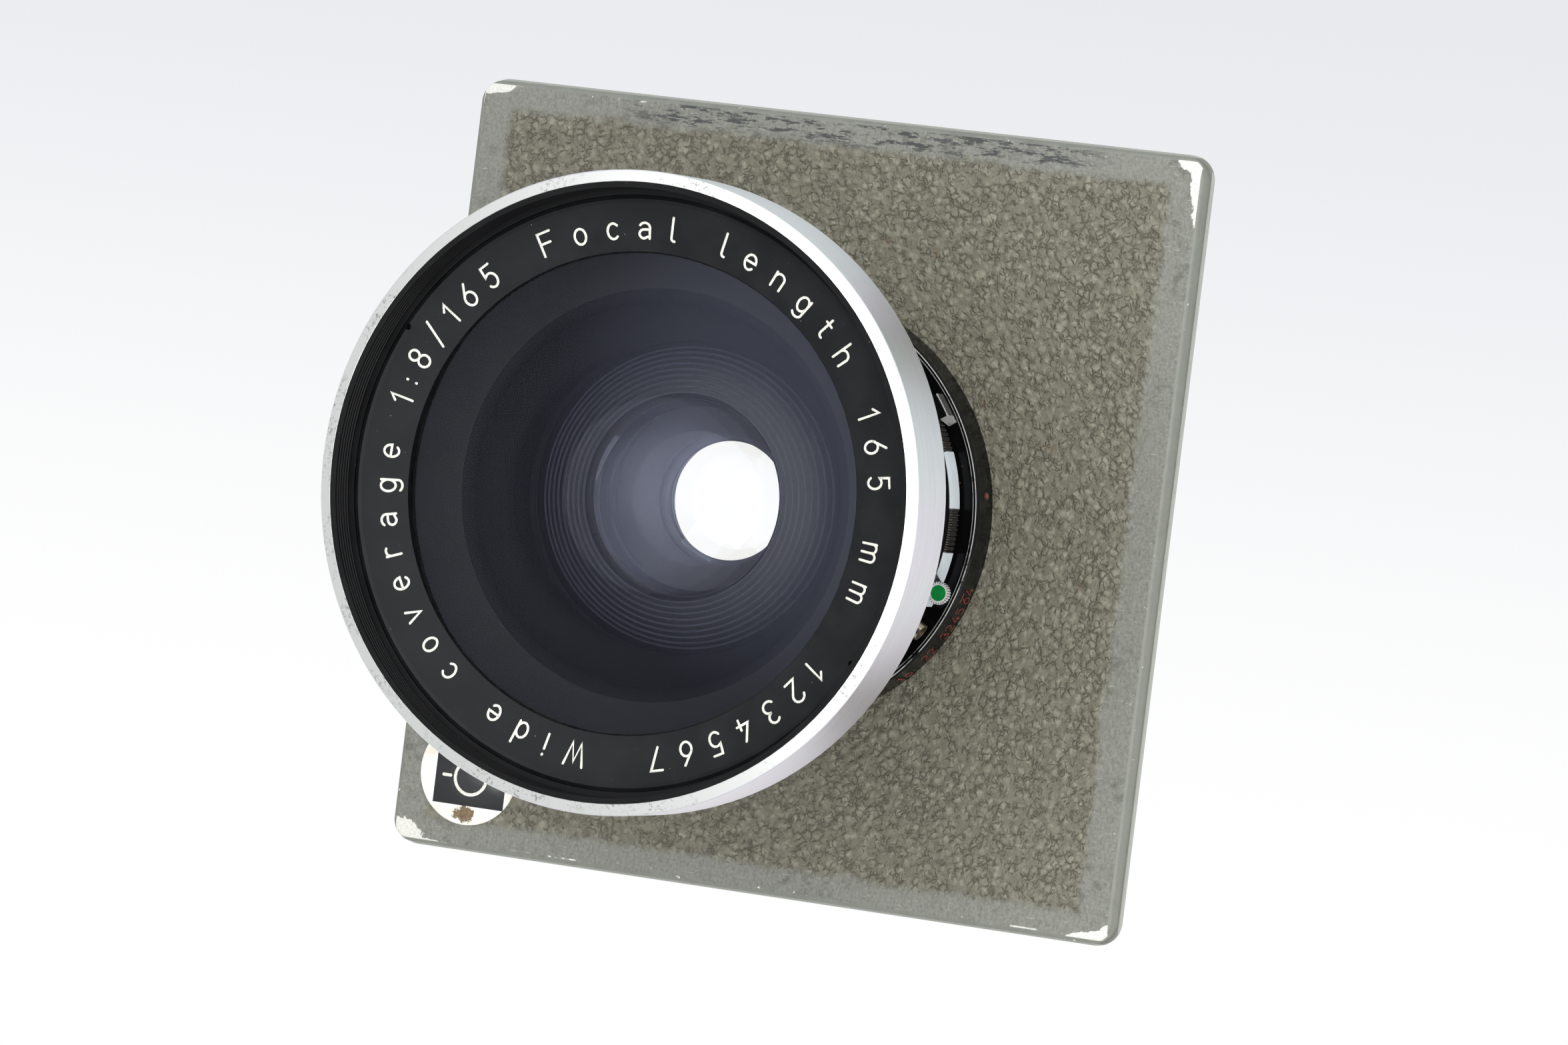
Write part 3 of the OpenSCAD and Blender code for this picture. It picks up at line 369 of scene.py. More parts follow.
def badge():
    """Cream enamel with a rusty worn patch near its lower rim."""
    s = Surface("badge_enamel", srgb(232, 230, 220), 0.3)
    dx = s.minus(s.x, BADGE_X * MM)
    dy = s.minus(s.y, (BADGE_Y - 7.6) * MM)
    off = s.math("SQRT", s.plus(s.times(dx, dx, 0.8), s.times(dy, dy, 1.5)))
    ragged = s.times(s.minus(s.noise(1.2, 5, harsh=0.65), 0.5), 4.4 * MM)
    worn = s.ramp(s.plus(off, ragged), 1.9 * MM, 1.5 * MM)
    rust = s.mix(s.noise(0.7, 4), srgb(60, 42, 25), srgb(150, 128, 98))
    yellowed = s.mix(s.ramp(s.noise(4, 3), 0.4, 0.75), srgb(238, 237, 229), srgb(214, 206, 186))
    s.colour(s.mix(worn, yellowed, rust))
    s.roughness(s.mix(worn, (0.25, 0.25, 0.25), (0.8, 0.8, 0.8)))
    s.bump(s.times(worn, s.noise(0.5, 3)), -0.15)
    return s.material


def sleeve_metal():
    """Satin silver, with a rubbed and speckled front face and a faint rainbow on the side."""
    s = Surface("sleeve_metal", srgb(225, 227, 229), 0.3, Metallic=1.0)
    face = s.ramp(s.z, (SLEEVE_TOP - 0.75) * MM, (SLEEVE_TOP - 0.6) * MM)
    patches = s.ramp(s.noise(9, 2, seed=3.0), 0.4, 0.6)
    speck = s.times(s.ramp(s.noise(0.7, 4, harsh=0.7), 0.5, 0.68), patches, face)
    turned = s.noise(0.25, 2, s.stretched((0.02, 0.02, 1.0)))
    side = s.mix(s.ramp(turned, 0.3, 0.7), srgb(212, 214, 217), srgb(228, 230, 233))
    tint = s.mix(s.ramp(s.noise(26, 1, seed=1.0), 0.4, 0.6), srgb(214, 228, 222), srgb(226, 214, 230))
    side = s.mix(0.35, side, tint)
    bright = s.mix(face, side, srgb(222, 222, 219))
    s.colour(s.mix(s.times(speck, 0.85), bright, srgb(110, 110, 106)))
    s.roughness(s.mix(face, (0.3, 0.3, 0.3), (0.42, 0.42, 0.42)))
    s.bump(speck, -0.02, 0.5)
    s.bump(turned, 0.01, 0.5)
    return s.material


def satin_black(name, roughness, base=(16, 17, 18), dust=0.12, shine=0.5, grain=0.006):
    """Black paint with scattered dust, a few specks, and cloudy wear in its gloss."""
    s = Surface(name, srgb(*base), roughness)
    s.shader.inputs["Specular IOR Level"].default_value = shine
    cloudy = s.noise(7, 3)
    rubbed = s.mix(s.ramp(cloudy, 0.35, 0.7), srgb(*base), srgb(*(c + 7 for c in base)))
    motes = s.most(s.specks(0.16, 1.7, dust), s.specks(0.07, 0.6, dust))
    s.colour(s.mix(motes, rubbed, srgb(150, 148, 142)))
    s.roughness(s.ramp(cloudy, 0.3, 0.7, roughness - 0.04, roughness + 0.06))
    s.bump(s.noise(0.3, 2), grain, 0.5)
    return s.material


def inside_black(name, roughness, base, first_step=None, step=None):
    """Flat black inside the barrels. A stepped baffle's edges, from first_step outwards, carry a painted
    highlight: a pale blue-grey line along each step's crest.
    """
    s = Surface(name, srgb(*base), roughness)
    s.shader.inputs["Specular IOR Level"].default_value = 0.3
    even = s.mix(s.ramp(s.noise(9, 2), 0.35, 0.7), srgb(*base), srgb(*(c + 5 for c in base)))
    if first_step is not None:
        along = s.times(s.minus(s.radius(), (first_step - 0.12) * MM), 1 / (step * MM))
        # Painted highlight: a pale blue-grey line on each step's crest, where its edge would catch the light.
        crest_highlight = s.times(s.ramp(s.math("FRACT", along), 0.26, 0.1), s.ramp(along, -0.1, 0.0))
        even = s.mix(s.times(crest_highlight, 0.85), even, srgb(88, 91, 106))
    s.colour(even)
    return s.material


RIM_TOP = high("front_cover", Z)
RIM_OUT_R = 38.0
RIM_IN_R = 37.45
PIT_R = 38.35
PIT_DEG = 9.2
PIT_Z = BOARD_FRONT + 2.7


def lacquer():
    """Glossy black enamel with dust in it, a painted pale grey highlight on the rim's two ridges, and one
    rusty pit.
    """
    s = Surface("gloss_lacquer", srgb(6, 6, 7), 0.16)
    s.shader.inputs["Specular IOR Level"].default_value = 0.13
    brown = s.most(s.specks(0.3, 3.1, 0.16), s.specks(0.2, 1.5, 0.06))
    pale = s.most(s.specks(0.13, 0.9, 0.12), s.specks(0.22, 2.6, 0.12))
    dusty = s.mix(pale, s.mix(brown, srgb(7, 7, 8), srgb(104, 60, 34)), srgb(150, 148, 142))
    radius = s.radius()
    # Painted highlight: the rim's two ridges are painted pale grey, broken up by noise, as if catching the
    # light.
    ridge_highlight = s.most(s.within(radius, (RIM_OUT_R - 0.06) * MM, (RIM_OUT_R + 0.04) * MM, 0.05 * MM),
                    s.within(radius, (RIM_IN_R - 0.05) * MM, (RIM_IN_R + 0.05) * MM, 0.05 * MM))
    ridge_highlight = s.times(ridge_highlight, s.ramp(s.z, (RIM_TOP - 0.2) * MM, (RIM_TOP - 0.1) * MM))
    rubbed = s.times(ridge_highlight, s.ramp(s.noise(3.5, 4, harsh=0.7), 0.34, 0.5))
    pit_x = s.minus(s.x, PIT_R * math.cos(math.radians(PIT_DEG)) * MM)
    pit_y = s.minus(s.y, PIT_R * math.sin(math.radians(PIT_DEG)) * MM)
    pit_z = s.minus(s.z, PIT_Z * MM)
    across = s.plus(s.times(pit_x, pit_x), s.times(pit_y, pit_y))
    off = s.math("SQRT", s.plus(across, s.times(pit_z, pit_z, 0.4)))
    pit = s.within(off, 0.4 * MM, 0.58 * MM, 0.15 * MM)
    orange = s.ramp(s.plus(off, s.times(s.minus(s.noise(0.5, 3), 0.5), 0.5 * MM)), 0.45 * MM, 0.3 * MM)
    dusty = s.mix(s.times(pit, 0.6), dusty, srgb(92, 84, 74))
    dusty = s.mix(s.times(orange, 0.8), dusty, srgb(150, 84, 52))
    # rubbed is the ridges' painted highlight, not wear.
    s.colour(s.mix(rubbed, dusty, srgb(176, 176, 172)))
    s.roughness(s.ramp(s.noise(5, 3), 0.35, 0.7, 0.12, 0.24))
    s.bump(s.ramp(off, 0.6 * MM, 0.2 * MM), -0.25)
    s.bump(s.noise(1.2, 2), 0.012, 0.5)
    return s.material


def metal(name, colour, roughness, dull=(0.8, 0.8, 0.8), size=0.9):
    """Bare or plated metal with fine turning marks and cloudy tarnish."""
    s = Surface(name, colour, roughness, Metallic=1.0)
    tarnish = s.ramp(s.noise(size * 4, 4, harsh=0.6), 0.38, 0.72)
    s.colour(s.mix(tarnish, colour, tuple(c * d for c, d in zip(colour, dull))))
    s.roughness(s.ramp(s.noise(size, 3), 0.3, 0.75, roughness - 0.07, roughness + 0.12))
    s.bump(s.noise(0.2, 2, s.stretched((0.1, 0.1, 1.0))), 0.006, 0.5)
    return s.material


GRIP_R = 35.3
KNURL_PITCH = 0.9


def speed_metal():
    """The speed ring: black, with bright pads and diamond knurling between them on its outer wall."""
    s = Surface("speed_ring_metal", srgb(10, 10, 11), 0.28)
    turn = s.angle()
    wall = s.ramp(s.radius(), (GRIP_R - 0.75) * MM, (GRIP_R - 0.55) * MM)
    pad = s.most(s.within(turn, -24.4, -7.6, 0.3), s.within(turn, 5.6, 21.9, 0.3))
    pad = s.times(s.most(pad, s.within(turn, 130.0, 145.0, 0.3)), wall)
    pad = s.most(pad, s.times(s.within(turn, 171.0, 186.0, 0.3), wall))
    up = s.times(s.z, 2 * math.pi / (KNURL_PITCH * MM))
    round_it = s.times(turn, GRIP_R * math.pi / 180 * 2 * math.pi / KNURL_PITCH)
    weave = s.times(s.math("SINE", s.plus(up, round_it)), s.math("SINE", s.minus(up, round_it)))
    rubbed = s.times(s.ramp(weave, 0.35, 0.9), wall, s.minus(1.0, pad))
    knurl = s.mix(s.times(rubbed, 0.8), srgb(14, 14, 14), srgb(98, 88, 78))
    bright = s.mix(s.noise(3, 4), srgb(196, 203, 207), srgb(216, 221, 224))
    bright = s.mix(s.specks(0.15, 1.1, 0.2), bright, srgb(120, 118, 110))
    s.colour(s.mix(pad, knurl, bright))
    s.roughness(s.mix(pad, (0.25, 0.25, 0.25), (0.38, 0.38, 0.38)))
    s.bump(s.times(weave, wall, s.minus(1.0, pad)), 0.18)
    return s.material


KNOB_TEETH = 26


def bezel():
    """Bright plating that has gone a little frosty, and is painted darker between the teeth."""
    s = Surface("frosted_plating", srgb(226, 227, 226), 0.3, Metallic=0.35)
    knob_x = (low("sync_knob", X) + high("sync_knob", X)) / 2
    knob_y = (low("sync_knob", Y) + high("sync_knob", Y)) / 2
    dx = s.minus(s.x, knob_x * MM)
    dy = s.minus(s.y, knob_y * MM)
    off = s.math("SQRT", s.plus(s.times(dx, dx), s.times(dy, dy)))
    teeth = s.math("SINE", s.times(s.math("ARCTAN2", dy, dx), KNOB_TEETH))
    # The gaps between the teeth are painted dark grey.
    gap = s.times(s.ramp(teeth, 0.2, 0.7), s.ramp(off, 1.62 * MM, 1.72 * MM))
    plating = s.mix(s.ramp(s.noise(0.5, 3), 0.5, 0.75), srgb(232, 233, 232), srgb(176, 177, 176))
    s.colour(s.mix(s.times(gap, 0.9), plating, srgb(58, 58, 58)))
    s.bump(s.noise(0.3, 2), 0.03, 0.6)
    return s.material


COCKING_TIP_R = 37.1
COCKING_TOP = high("cocking_ring", Z)
TIP_DEG = 35.2


def lever_black():
    """Black enamel on the cocking lever, worn bright along the tip's edges, and painted a lit grey on its
    outer side.
    """
    s = Surface("lever_lacquer", srgb(8, 8, 9), 0.2)
    s.shader.inputs["Specular IOR Level"].default_value = 0.3
    away = s.minus(s.radius(), (COCKING_TIP_R - 0.1) * MM)
    # Painted light: the tip's outer side is painted grey, as if lit.
    outside = s.ramp(away, 0.0, 0.06 * MM)
    high_up = s.ramp(s.z, (COCKING_TOP - 0.16) * MM, (COCKING_TOP - 0.08) * MM)
    top_edge = s.times(high_up, s.ramp(away, -0.12 * MM, -0.04 * MM))
    along = s.times(s.minus(s.angle(), TIP_DEG), COCKING_TIP_R * math.pi / 180)
    upper = s.ramp(s.z, (COCKING_TOP - 3.0) * MM, (COCKING_TOP - 2.6) * MM)
    end = s.times(s.ramp(along, -2.1, -2.3), upper)
    worn = s.times(s.most(top_edge, s.times(end, 0.75)), s.ramp(s.noise(0.9, 3), 0.25, 0.5))
    # The outer side's painted light grey goes in here.
    black = s.mix(s.times(outside, 0.9), srgb(10, 10, 11), srgb(70, 70, 68))
    s.colour(s.mix(worn, black, srgb(170, 170, 166)))
    s.bump(s.noise(0.7, 3), 0.02, 0.5)
    return s.material


def enamel():
    """Green enamel dot on the flash lever's knob."""
    s = Surface("green_enamel", srgb(8, 112, 46), 0.12, Coat_Weight=0.6, Coat_Roughness=0.03)
    s.colour(s.mix(s.noise(1.0, 3), srgb(4, 96, 36), srgb(18, 134, 60)))
    s.bump(s.noise(0.6, 2), 0.02, 0.5)
    return s.material


COATING = (0.29, 0.31, 0.43, 1.0)


def glass(name, ior):
    """Optical glass whose coating turns its reflections blue, with a few specks of dust on it."""
    s = Surface(name, (1.0, 1.0, 1.0), 0.0, Transmission_Weight=1.0, IOR=ior, Specular_Tint=COATING)
    dust = s.most(s.specks(0.14, 4.5, 0.1), s.specks(0.07, 1.6, 0.08))
    s.feed(s.shader.inputs["Transmission Weight"], s.minus(1.0, s.times(dust, 0.6)))
    s.colour(s.mix(dust, (1.0, 1.0, 1.0), srgb(150, 148, 140)))
    return s.material


def paint_fill(name, colour, dirt):
    """Paint rubbed into engraved letters, a little dirty and worn."""
    s = Surface(name, colour, 0.45)
    s.colour(s.mix(s.ramp(s.noise(0.5, 4, harsh=0.6), 0.45, 0.75), colour, dirt))
    s.bump(s.noise(0.2, 3), 0.02, 0.5)
    return s.material


BLACK_INSIDE = inside_black("inside_black", 0.42, (20, 20, 24))
FRONT_BAFFLE = inside_black("front_baffle_black", 0.42, (18, 18, 22), 24.0, 1.25)
NAME_BLACK = satin_black("name_ring_black", 0.32, (20, 21, 22), 0.14, 0.14)
BARREL_BLACK = satin_black("barrel_black", 0.38, (9, 9, 10), 0.08, 0.12, 0.001)
BLADE = metal("blade_coating", srgb(58, 60, 64), 0.4)
LACQUER = lacquer()
STEEL = metal("worked_steel", srgb(168, 170, 172), 0.3)
BRASS = metal("gear_brass", srgb(196, 164, 96), 0.3, (0.75, 0.68, 0.55))
NICKEL = metal("dull_nickel", srgb(186, 177, 158), 0.3, (0.72, 0.68, 0.6), 0.5)
INSULATOR = satin_black("insulator_black", 0.5, (20, 18, 17), 0.1)
LENS_GLASS = glass("coated_glass", 1.56)
DOUBLET_GLASS = glass("dense_glass", 1.7)
LENS_EDGE = inside_black("lens_edge_black", 0.6, (12, 12, 15))

BY_SLOT = {
    "board_paint": board_paint(),
    "badge": badge(),
    "black_metal": BARREL_BLACK,
    "black_lacquer": LACQUER,
    "bright_metal": sleeve_metal(),
    "steel": STEEL,
    "blade_steel": BLADE,
    "brass": BRASS,
    "nickel": NICKEL,
    "enamel": enamel(),
    "insulator": INSULATOR,
    "speed_metal": speed_metal(),
    "glass_front": LENS_GLASS,
    "glass": LENS_GLASS,
}
BY_NODE = {
    "name_ring": NAME_BLACK,
    "front_baffle": FRONT_BAFFLE,
    "rear_baffle": BLACK_INSIDE,
    "front_doublet_ring": BLACK_INSIDE,
    "rear_doublet_ring": BLACK_INSIDE,
    "mechanism_plate": BLACK_INSIDE,
    "sync_knob": bezel(),
    "cocking_ring": lever_black(),
    "cover_screws": STEEL,
}
for name, node in nodes.items():
    for slot in node.material_slots:
        slot.material = BY_NODE.get(name) or BY_SLOT[slot.material.name.split(".")[0]]


# ---------------------------------------------------------------- mesh helpers


def make_piece(name, points, faces, materials, body, face_materials=None, sharp=35):
    """A mesh piece in place in the frame, riding on a body. Points are in millimetres."""
    mesh = bpy.data.meshes.new(name)
    mesh.from_pydata([tuple(c * MM for c in point) for point in points], [], faces)
    for material in materials:
        mesh.materials.append(material)
    if face_materials:
        mesh.polygons.foreach_set("material_index", face_materials)
    mesh.validate()
    mesh.shade_smooth()
    mesh.set_sharp_from_angle(angle=math.radians(sharp))
    piece = bpy.data.objects.new(name, mesh)
    scene.collection.objects.link(piece)
    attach(piece, body)
    return piece


def lathe(name, profile, materials, body, pick, steps=192):
    """Turns a closed profile of (radius, height) about the axis. It starts and ends on the axis.

    pick gives the material number of the stretch that starts at a profile point.
    """
    points = [(0.0, 0.0, profile[0][1])]
    for r, z in profile[1:-1]:
        for i in range(steps):
            a = 2 * math.pi * i / steps
            points.append((r * math.cos(a), r * math.sin(a), z))
    points.append((0.0, 0.0, profile[-1][1]))
    faces, kinds = [], []
    rings = len(profile) - 2
    for i in range(steps):
        j = (i + 1) % steps
        faces.append((0, 1 + i, 1 + j))
        kinds.append(pick(0))
        for ring in range(rings - 1):
            a = 1 + ring * steps
            b = a + steps
            faces.append((a + i, b + i, b + j, a + j))
            kinds.append(pick(ring + 1))
        last = 1 + (rings - 1) * steps
        faces.append((last + i, len(points) - 1, last + j))
        kinds.append(pick(rings))
    return make_piece(name, points, faces, materials, body, kinds)


# ---------------------------------------------------------------- lenses


def ball(vertex, curve, reach, count=28):
    """Points from the axis out to reach on a sphere through (0, vertex). A negative curve bends forwards."""
    points = []
    for i in range(count + 1):
        r = reach * math.sin(math.pi / 2 * i / count)
        sag = abs(curve) - math.sqrt(curve * curve - r * r)
        points.append((r, vertex - math.copysign(sag, curve)))
    return points


def lens(name, front, rear, clear_front, clear_rear, edge, material, *stands_for):
    """One glass body between two spheres, with painted edges outside its clear radii."""
    top = ball(*front, clear_front)
    bottom = ball(*rear, clear_rear)
    outside = []
    if edge > clear_front:
        outside.append((edge, top[-1][1]))
    if edge > clear_rear:
        outside.append((edge, bottom[-1][1]))
    profile = top + outside + bottom[::-1]
    clear = len(top) - 1
    painted = clear + len(outside) + 1
    piece = lathe(name, profile, [material, LENS_EDGE], "case", lambda i: 1 if clear <= i < painted else 0)
    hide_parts(*stands_for)


FRONT_TOP = high("front_meniscus", Z)
FRONT_R = high("front_meniscus", X)
REAR_R = high("rear_meniscus", X)
FRONT_PAIR_R = 24.5
REAR_PAIR_R = 23.5

# Each surface is the height of its middle on the axis and the radius of its sphere.
lens("front_lens_glass", (FRONT_TOP, 129.4), (FRONT_TOP - 4.5, 38.0),
     FRONT_R, 33.5, FRONT_R, LENS_GLASS, "front_meniscus")
lens("front_doublet_glass", (BOARD_FRONT + 46.0, 62.0), (BOARD_FRONT + 28.0, -200.0),
     FRONT_PAIR_R, FRONT_PAIR_R, FRONT_PAIR_R, DOUBLET_GLASS, "front_crown", "front_flint")
lens("rear_doublet_glass", (BOARD_FRONT - 11.5, 200.0), (BOARD_FRONT - 27.5, -60.0),
     REAR_PAIR_R, REAR_PAIR_R, REAR_PAIR_R, DOUBLET_GLASS, "rear_crown", "rear_flint")
lens("rear_lens_glass", (BOARD_FRONT - 43.0, -40.0), (BOARD_FRONT - 47.0, -100.0),
     28.0, REAR_R, REAR_R, LENS_GLASS, "rear_meniscus")


# ---------------------------------------------------------------- engraving


def arc(x, y, rx, ry, start, end):
    """Points of an elliptical arc, for a letter's stroke."""
    count = max(3, int(abs(end - start) / 15))
    turns = [math.radians(start + (end - start) * i / count) for i in range(count + 1)]
    return [(x + rx * math.cos(t), y + ry * math.sin(t)) for t in turns]


def arch(x, width):
    """The shoulder of an n, from its stem at x."""
    half = width / 2
    return [(x, 2.2)] + arc(x + half, 4 - half, half, half, 180, 0) + [(x + width, 0)]


# Each letter is its width and its strokes, with the line at 0, small letters 4 high and capitals 6 high.
LETTERS = {
    " ": (1.6, []),
    "F": (3.2, [[(0, 0), (0, 6), (3.2, 6)], [(0, 3.2), (2.7, 3.2)]]),
    "W": (4.8, [[(0, 6), (1.2, 0), (2.4, 5), (3.6, 0), (4.8, 6)]]),
    "a": (2.8, [arc(1.4, 2.7, 1.4, 1.3, 150, 0) + [(2.8, 0)],
                [(2.8, 2.3), (1.3, 2.3)] + arc(1.3, 1.15, 1.3, 1.15, 90, 270) + [(2.8, 0.7)]]),
    "c": (2.6, [arc(1.5, 2, 1.5, 2, 45, 315)]),
    "d": (2.9, [arc(1.45, 2, 1.45, 2, 0, 360), [(2.9, 0), (2.9, 6)]]),
    "e": (3.0, [[(0.1, 2.1)] + arc(1.5, 2, 1.5, 2, 3, 315)]),
    "g": (2.9, [arc(1.45, 2, 1.45, 2, 0, 360), [(2.9, 4)] + arc(1.45, -0.7, 1.45, 1.1, 0, -150)]),
    "h": (2.8, [[(0, 0), (0, 6)], arch(0, 2.8)]),
    "i": (0.0, [[(0, 0), (0, 4)], [(0, 5.4), (0, 5.6)]]),
    "l": (0.7, [[(0, 6)] + arc(0.8, 0.8, 0.8, 0.8, 180, 280)]),
    "m": (4.4, [[(0, 0), (0, 4)], arch(0, 2.2), arch(2.2, 2.2)]),
    "n": (2.8, [[(0, 0), (0, 4)], arch(0, 2.8)]),
    "o": (3.0, [arc(1.5, 2, 1.5, 2, 0, 360)]),
    "r": (1.9, [[(0, 0), (0, 4)], [(0, 2.2)] + arc(1.3, 2.6, 1.3, 1.4, 180, 55)]),
    "t": (1.9, [[(0.8, 5.4)] + arc(1.7, 0.9, 0.9, 0.9, 180, 285), [(0, 4), (1.9, 4)]]),
    "v": (2.8, [[(0, 4), (1.4, 0), (2.8, 4)]]),
    "1": (1.4, [[(0, 4.5), (1.3, 6), (1.3, 0)]]),
    "2": (3.0, [arc(1.5, 4.4, 1.5, 1.6, 165, -35) + [(0, 0), (3, 0)]]),
    "3": (3.0, [arc(1.4, 4.55, 1.3, 1.45, 145, -90) + arc(1.4, 1.55, 1.6, 1.55, 90, -150)]),
    "4": (3.2, [[(2.2, 6), (0, 1.6), (3.2, 1.6)], [(2.3, 2.8), (2.3, 0)]]),
    "5": (2.9, [[(2.7, 6), (0.4, 6), (0.25, 3.3)] + arc(1.35, 1.9, 1.5, 1.9, 125, -145)]),
    "6": (3.0, [[(2.3, 6)] + arc(1.5, 1.85, 1.5, 1.85, 155, 515)]),
    "7": (3.0, [[(0, 6), (3, 6), (1, 0)]]),
    "8": (3.0, [arc(1.5, 4.6, 1.25, 1.4, 0, 360), arc(1.5, 1.6, 1.5, 1.6, 0, 360)]),
    ":": (0.0, [[(0, 0.7), (0, 0.9)], [(0, 3.3), (0, 3.5)]]),
    "/": (2.4, [[(0, -0.7), (2.4, 6.6)]]),
    "-": (4.4, [[(0, 7.1), (4.4, 7.1)]]),
}


def ribbon(path, width):
    """The flat outline of a stroke with round ends: its points, and faces between its two sides."""
    closed = math.dist(path[0], path[-1]) < 1e-6
    if closed:
        path = path[:-1]
    count = len(path)
    left, right = [], []
    for i, (x, y) in enumerate(path):
        before = path[i - 1] if closed or i else path[i]
        after = path[(i + 1) % count] if closed or i < count - 1 else path[i]
        ahead = Vector(after) - Vector(path[i])
        behind = Vector(path[i]) - Vector(before)
        way = ahead.normalized() + behind.normalized()
        way.normalize()
        keep = max(abs(way.dot((ahead if ahead.length else behind).normalized())), 0.5)
        side = Vector((-way.y, way.x)) * (width / 2 / keep)
        left.append((x + side.x, y + side.y))
        right.append((x - side.x, y - side.y))
    points = left + right
    spans = count if closed else count - 1
    faces = [(i, count + i, count + (i + 1) % count, (i + 1) % count) for i in range(spans)]
    if not closed:
        for end, first, second in ((0, left[0], right[0]), (count - 1, right[-1], left[-1])):
            middle = Vector(path[end])
            start = math.atan2(first[1] - middle.y, first[0] - middle.x)
            cap = []
            for step in range(1, 6):
                a = start + math.pi * step / 6
                cap.append(len(points))
                points.append((middle.x + width / 2 * math.cos(a), middle.y + width / 2 * math.sin(a)))
            ends = (end, count + end) if end == 0 else (count + end, end)
            faces.append((ends[0], *cap, ends[1]))
    return points, faces


# Each stroke of a letter lies this far above the one before, so that no two share a plane.
LAYER = 0.004


def thicken(piece, depth):
    """Gives a flat piece a depth in millimetres, behind its face."""
    solid = piece.modifiers.new("thickness", "SOLIDIFY")
    solid.thickness = depth * MM
    solid.offset = -1.0


def engrave(name, text, first, last, style):
    """Letters as thin filled strokes, spread from the angle first to last in a style of lettering."""
    scale = style["scale"]
    widths = [LETTERS[letter][0] for letter in text]
    steps = [(a + b) / 2 for a, b in zip(widths, widths[1:])]
    reach = abs(math.radians(last - first)) * style["radius"] / scale
    gap = (reach - sum(steps)) / len(steps) if steps else 0.0
    points, faces, along = [], [], 0.0
    for i, letter in enumerate(text):
        width, strokes = LETTERS[letter]
        at = first + (last - first) * (along / reach if reach else 0.0)
        for layer, stroke in enumerate(strokes):
            flat, quads = ribbon(stroke, style["stroke"] / scale)
            start = len(points)
            for x, y in flat:
                points.append(style["wrap"](at, (x - width / 2) * scale, y * scale, LAYER * layer))
            faces.extend(tuple(start + k for k in quad) for quad in quads)
        if i < len(steps):
            along += steps[i] + gap
    thicken(make_piece(name, points, faces, [style["material"]], "case"), style["depth"])


NAME_TOP_IN = (41.4, BOARD_FRONT + 75.95)
NAME_TOP_OUT = (49.7, BOARD_FRONT + 77.0)
NAME_BASE_R = 43.6
ENGRAVED = paint_fill("engraved_cream", srgb(236, 234, 222), srgb(196, 190, 170))
ENGRAVED_RED = paint_fill("engraved_red", srgb(150, 58, 44), srgb(70, 28, 22))


def on_name_ring(at, x, y, lift):
    """Reading clockwise with the tops outwards, on the sloping front of the name ring."""
    a = math.radians(at) - x / NAME_BASE_R
    r = NAME_BASE_R + y
    share = (r - NAME_TOP_IN[0]) / (NAME_TOP_OUT[0] - NAME_TOP_IN[0])
    z = NAME_TOP_IN[1] + share * (NAME_TOP_OUT[1] - NAME_TOP_IN[1])
    return (r * math.cos(a), r * math.sin(a), z + 0.02 + lift)


NAME_STYLE = {"scale": 4.0 / 6, "stroke": 0.42, "depth": 0.1, "radius": NAME_BASE_R,
              "wrap": on_name_ring, "material": ENGRAVED}
for label, text, first, last in (
    ("focal", "Focal length 165 mm", 117.0, -15.0),
    ("count", "1234567", -34.0, -76.0),
    ("angle", "Wide coverage", -95.0, -182.5),
    ("ratio", "1:8/165", 166.0, 132.0),
):
    engrave("engraving_" + label, text, first, last, NAME_STYLE)

BAND_LOW = (38.45, BOARD_FRONT)
BAND_TOP = (38.25, SHUTTER_SEAT + 7.2)
BAND_LENGTH = math.dist(BAND_LOW, BAND_TOP)
STOP_FOOT = 0.75
STOP_NARROW = 0.78


def on_scale_band(at, x, y, lift):
    """Reading anticlockwise with the tops forwards, in narrow figures on the side of the shutter housing."""
    share = (STOP_FOOT + y) / BAND_LENGTH
    r = BAND_LOW[0] + share * (BAND_TOP[0] - BAND_LOW[0]) + 0.015 + lift
    z = BAND_LOW[1] + share * (BAND_TOP[1] - BAND_LOW[1])
    a = math.radians(at) + STOP_NARROW * x / BAND_LOW[0]
    return (r * math.cos(a), r * math.sin(a), z)


STOPS = (("8", -73.5), ("11", -59.0), ("16", -46.5), ("22", -37.3),
         ("32", -29.3), ("45", -24.0), ("64", -18.2))
STOP_STYLE = {"scale": 3.1 / 6, "stroke": 0.19, "depth": 0.08, "radius": BAND_LOW[0],
              "wrap": on_scale_band, "material": ENGRAVED_RED}
for text, at in STOPS:
    spread = 1.25 if len(text) > 1 else 0.0
    engrave("stop_" + text, text, at - spread, at + spread, STOP_STYLE)
engrave("stop_line", "-", -18.9, -18.9, {**STOP_STYLE, "stroke": 0.26})


# ---------------------------------------------------------------- badge mark

MARK_DARK = satin_black("badge_black", 0.35, (38, 38, 40), 0.2)
PANEL_X = BADGE_X + 0.6
PANEL_HALF_W = 7.0
PANEL_FOOT = -6.1
PANEL_HEAD = 4.3
ENAMEL_LIFT = 0.03


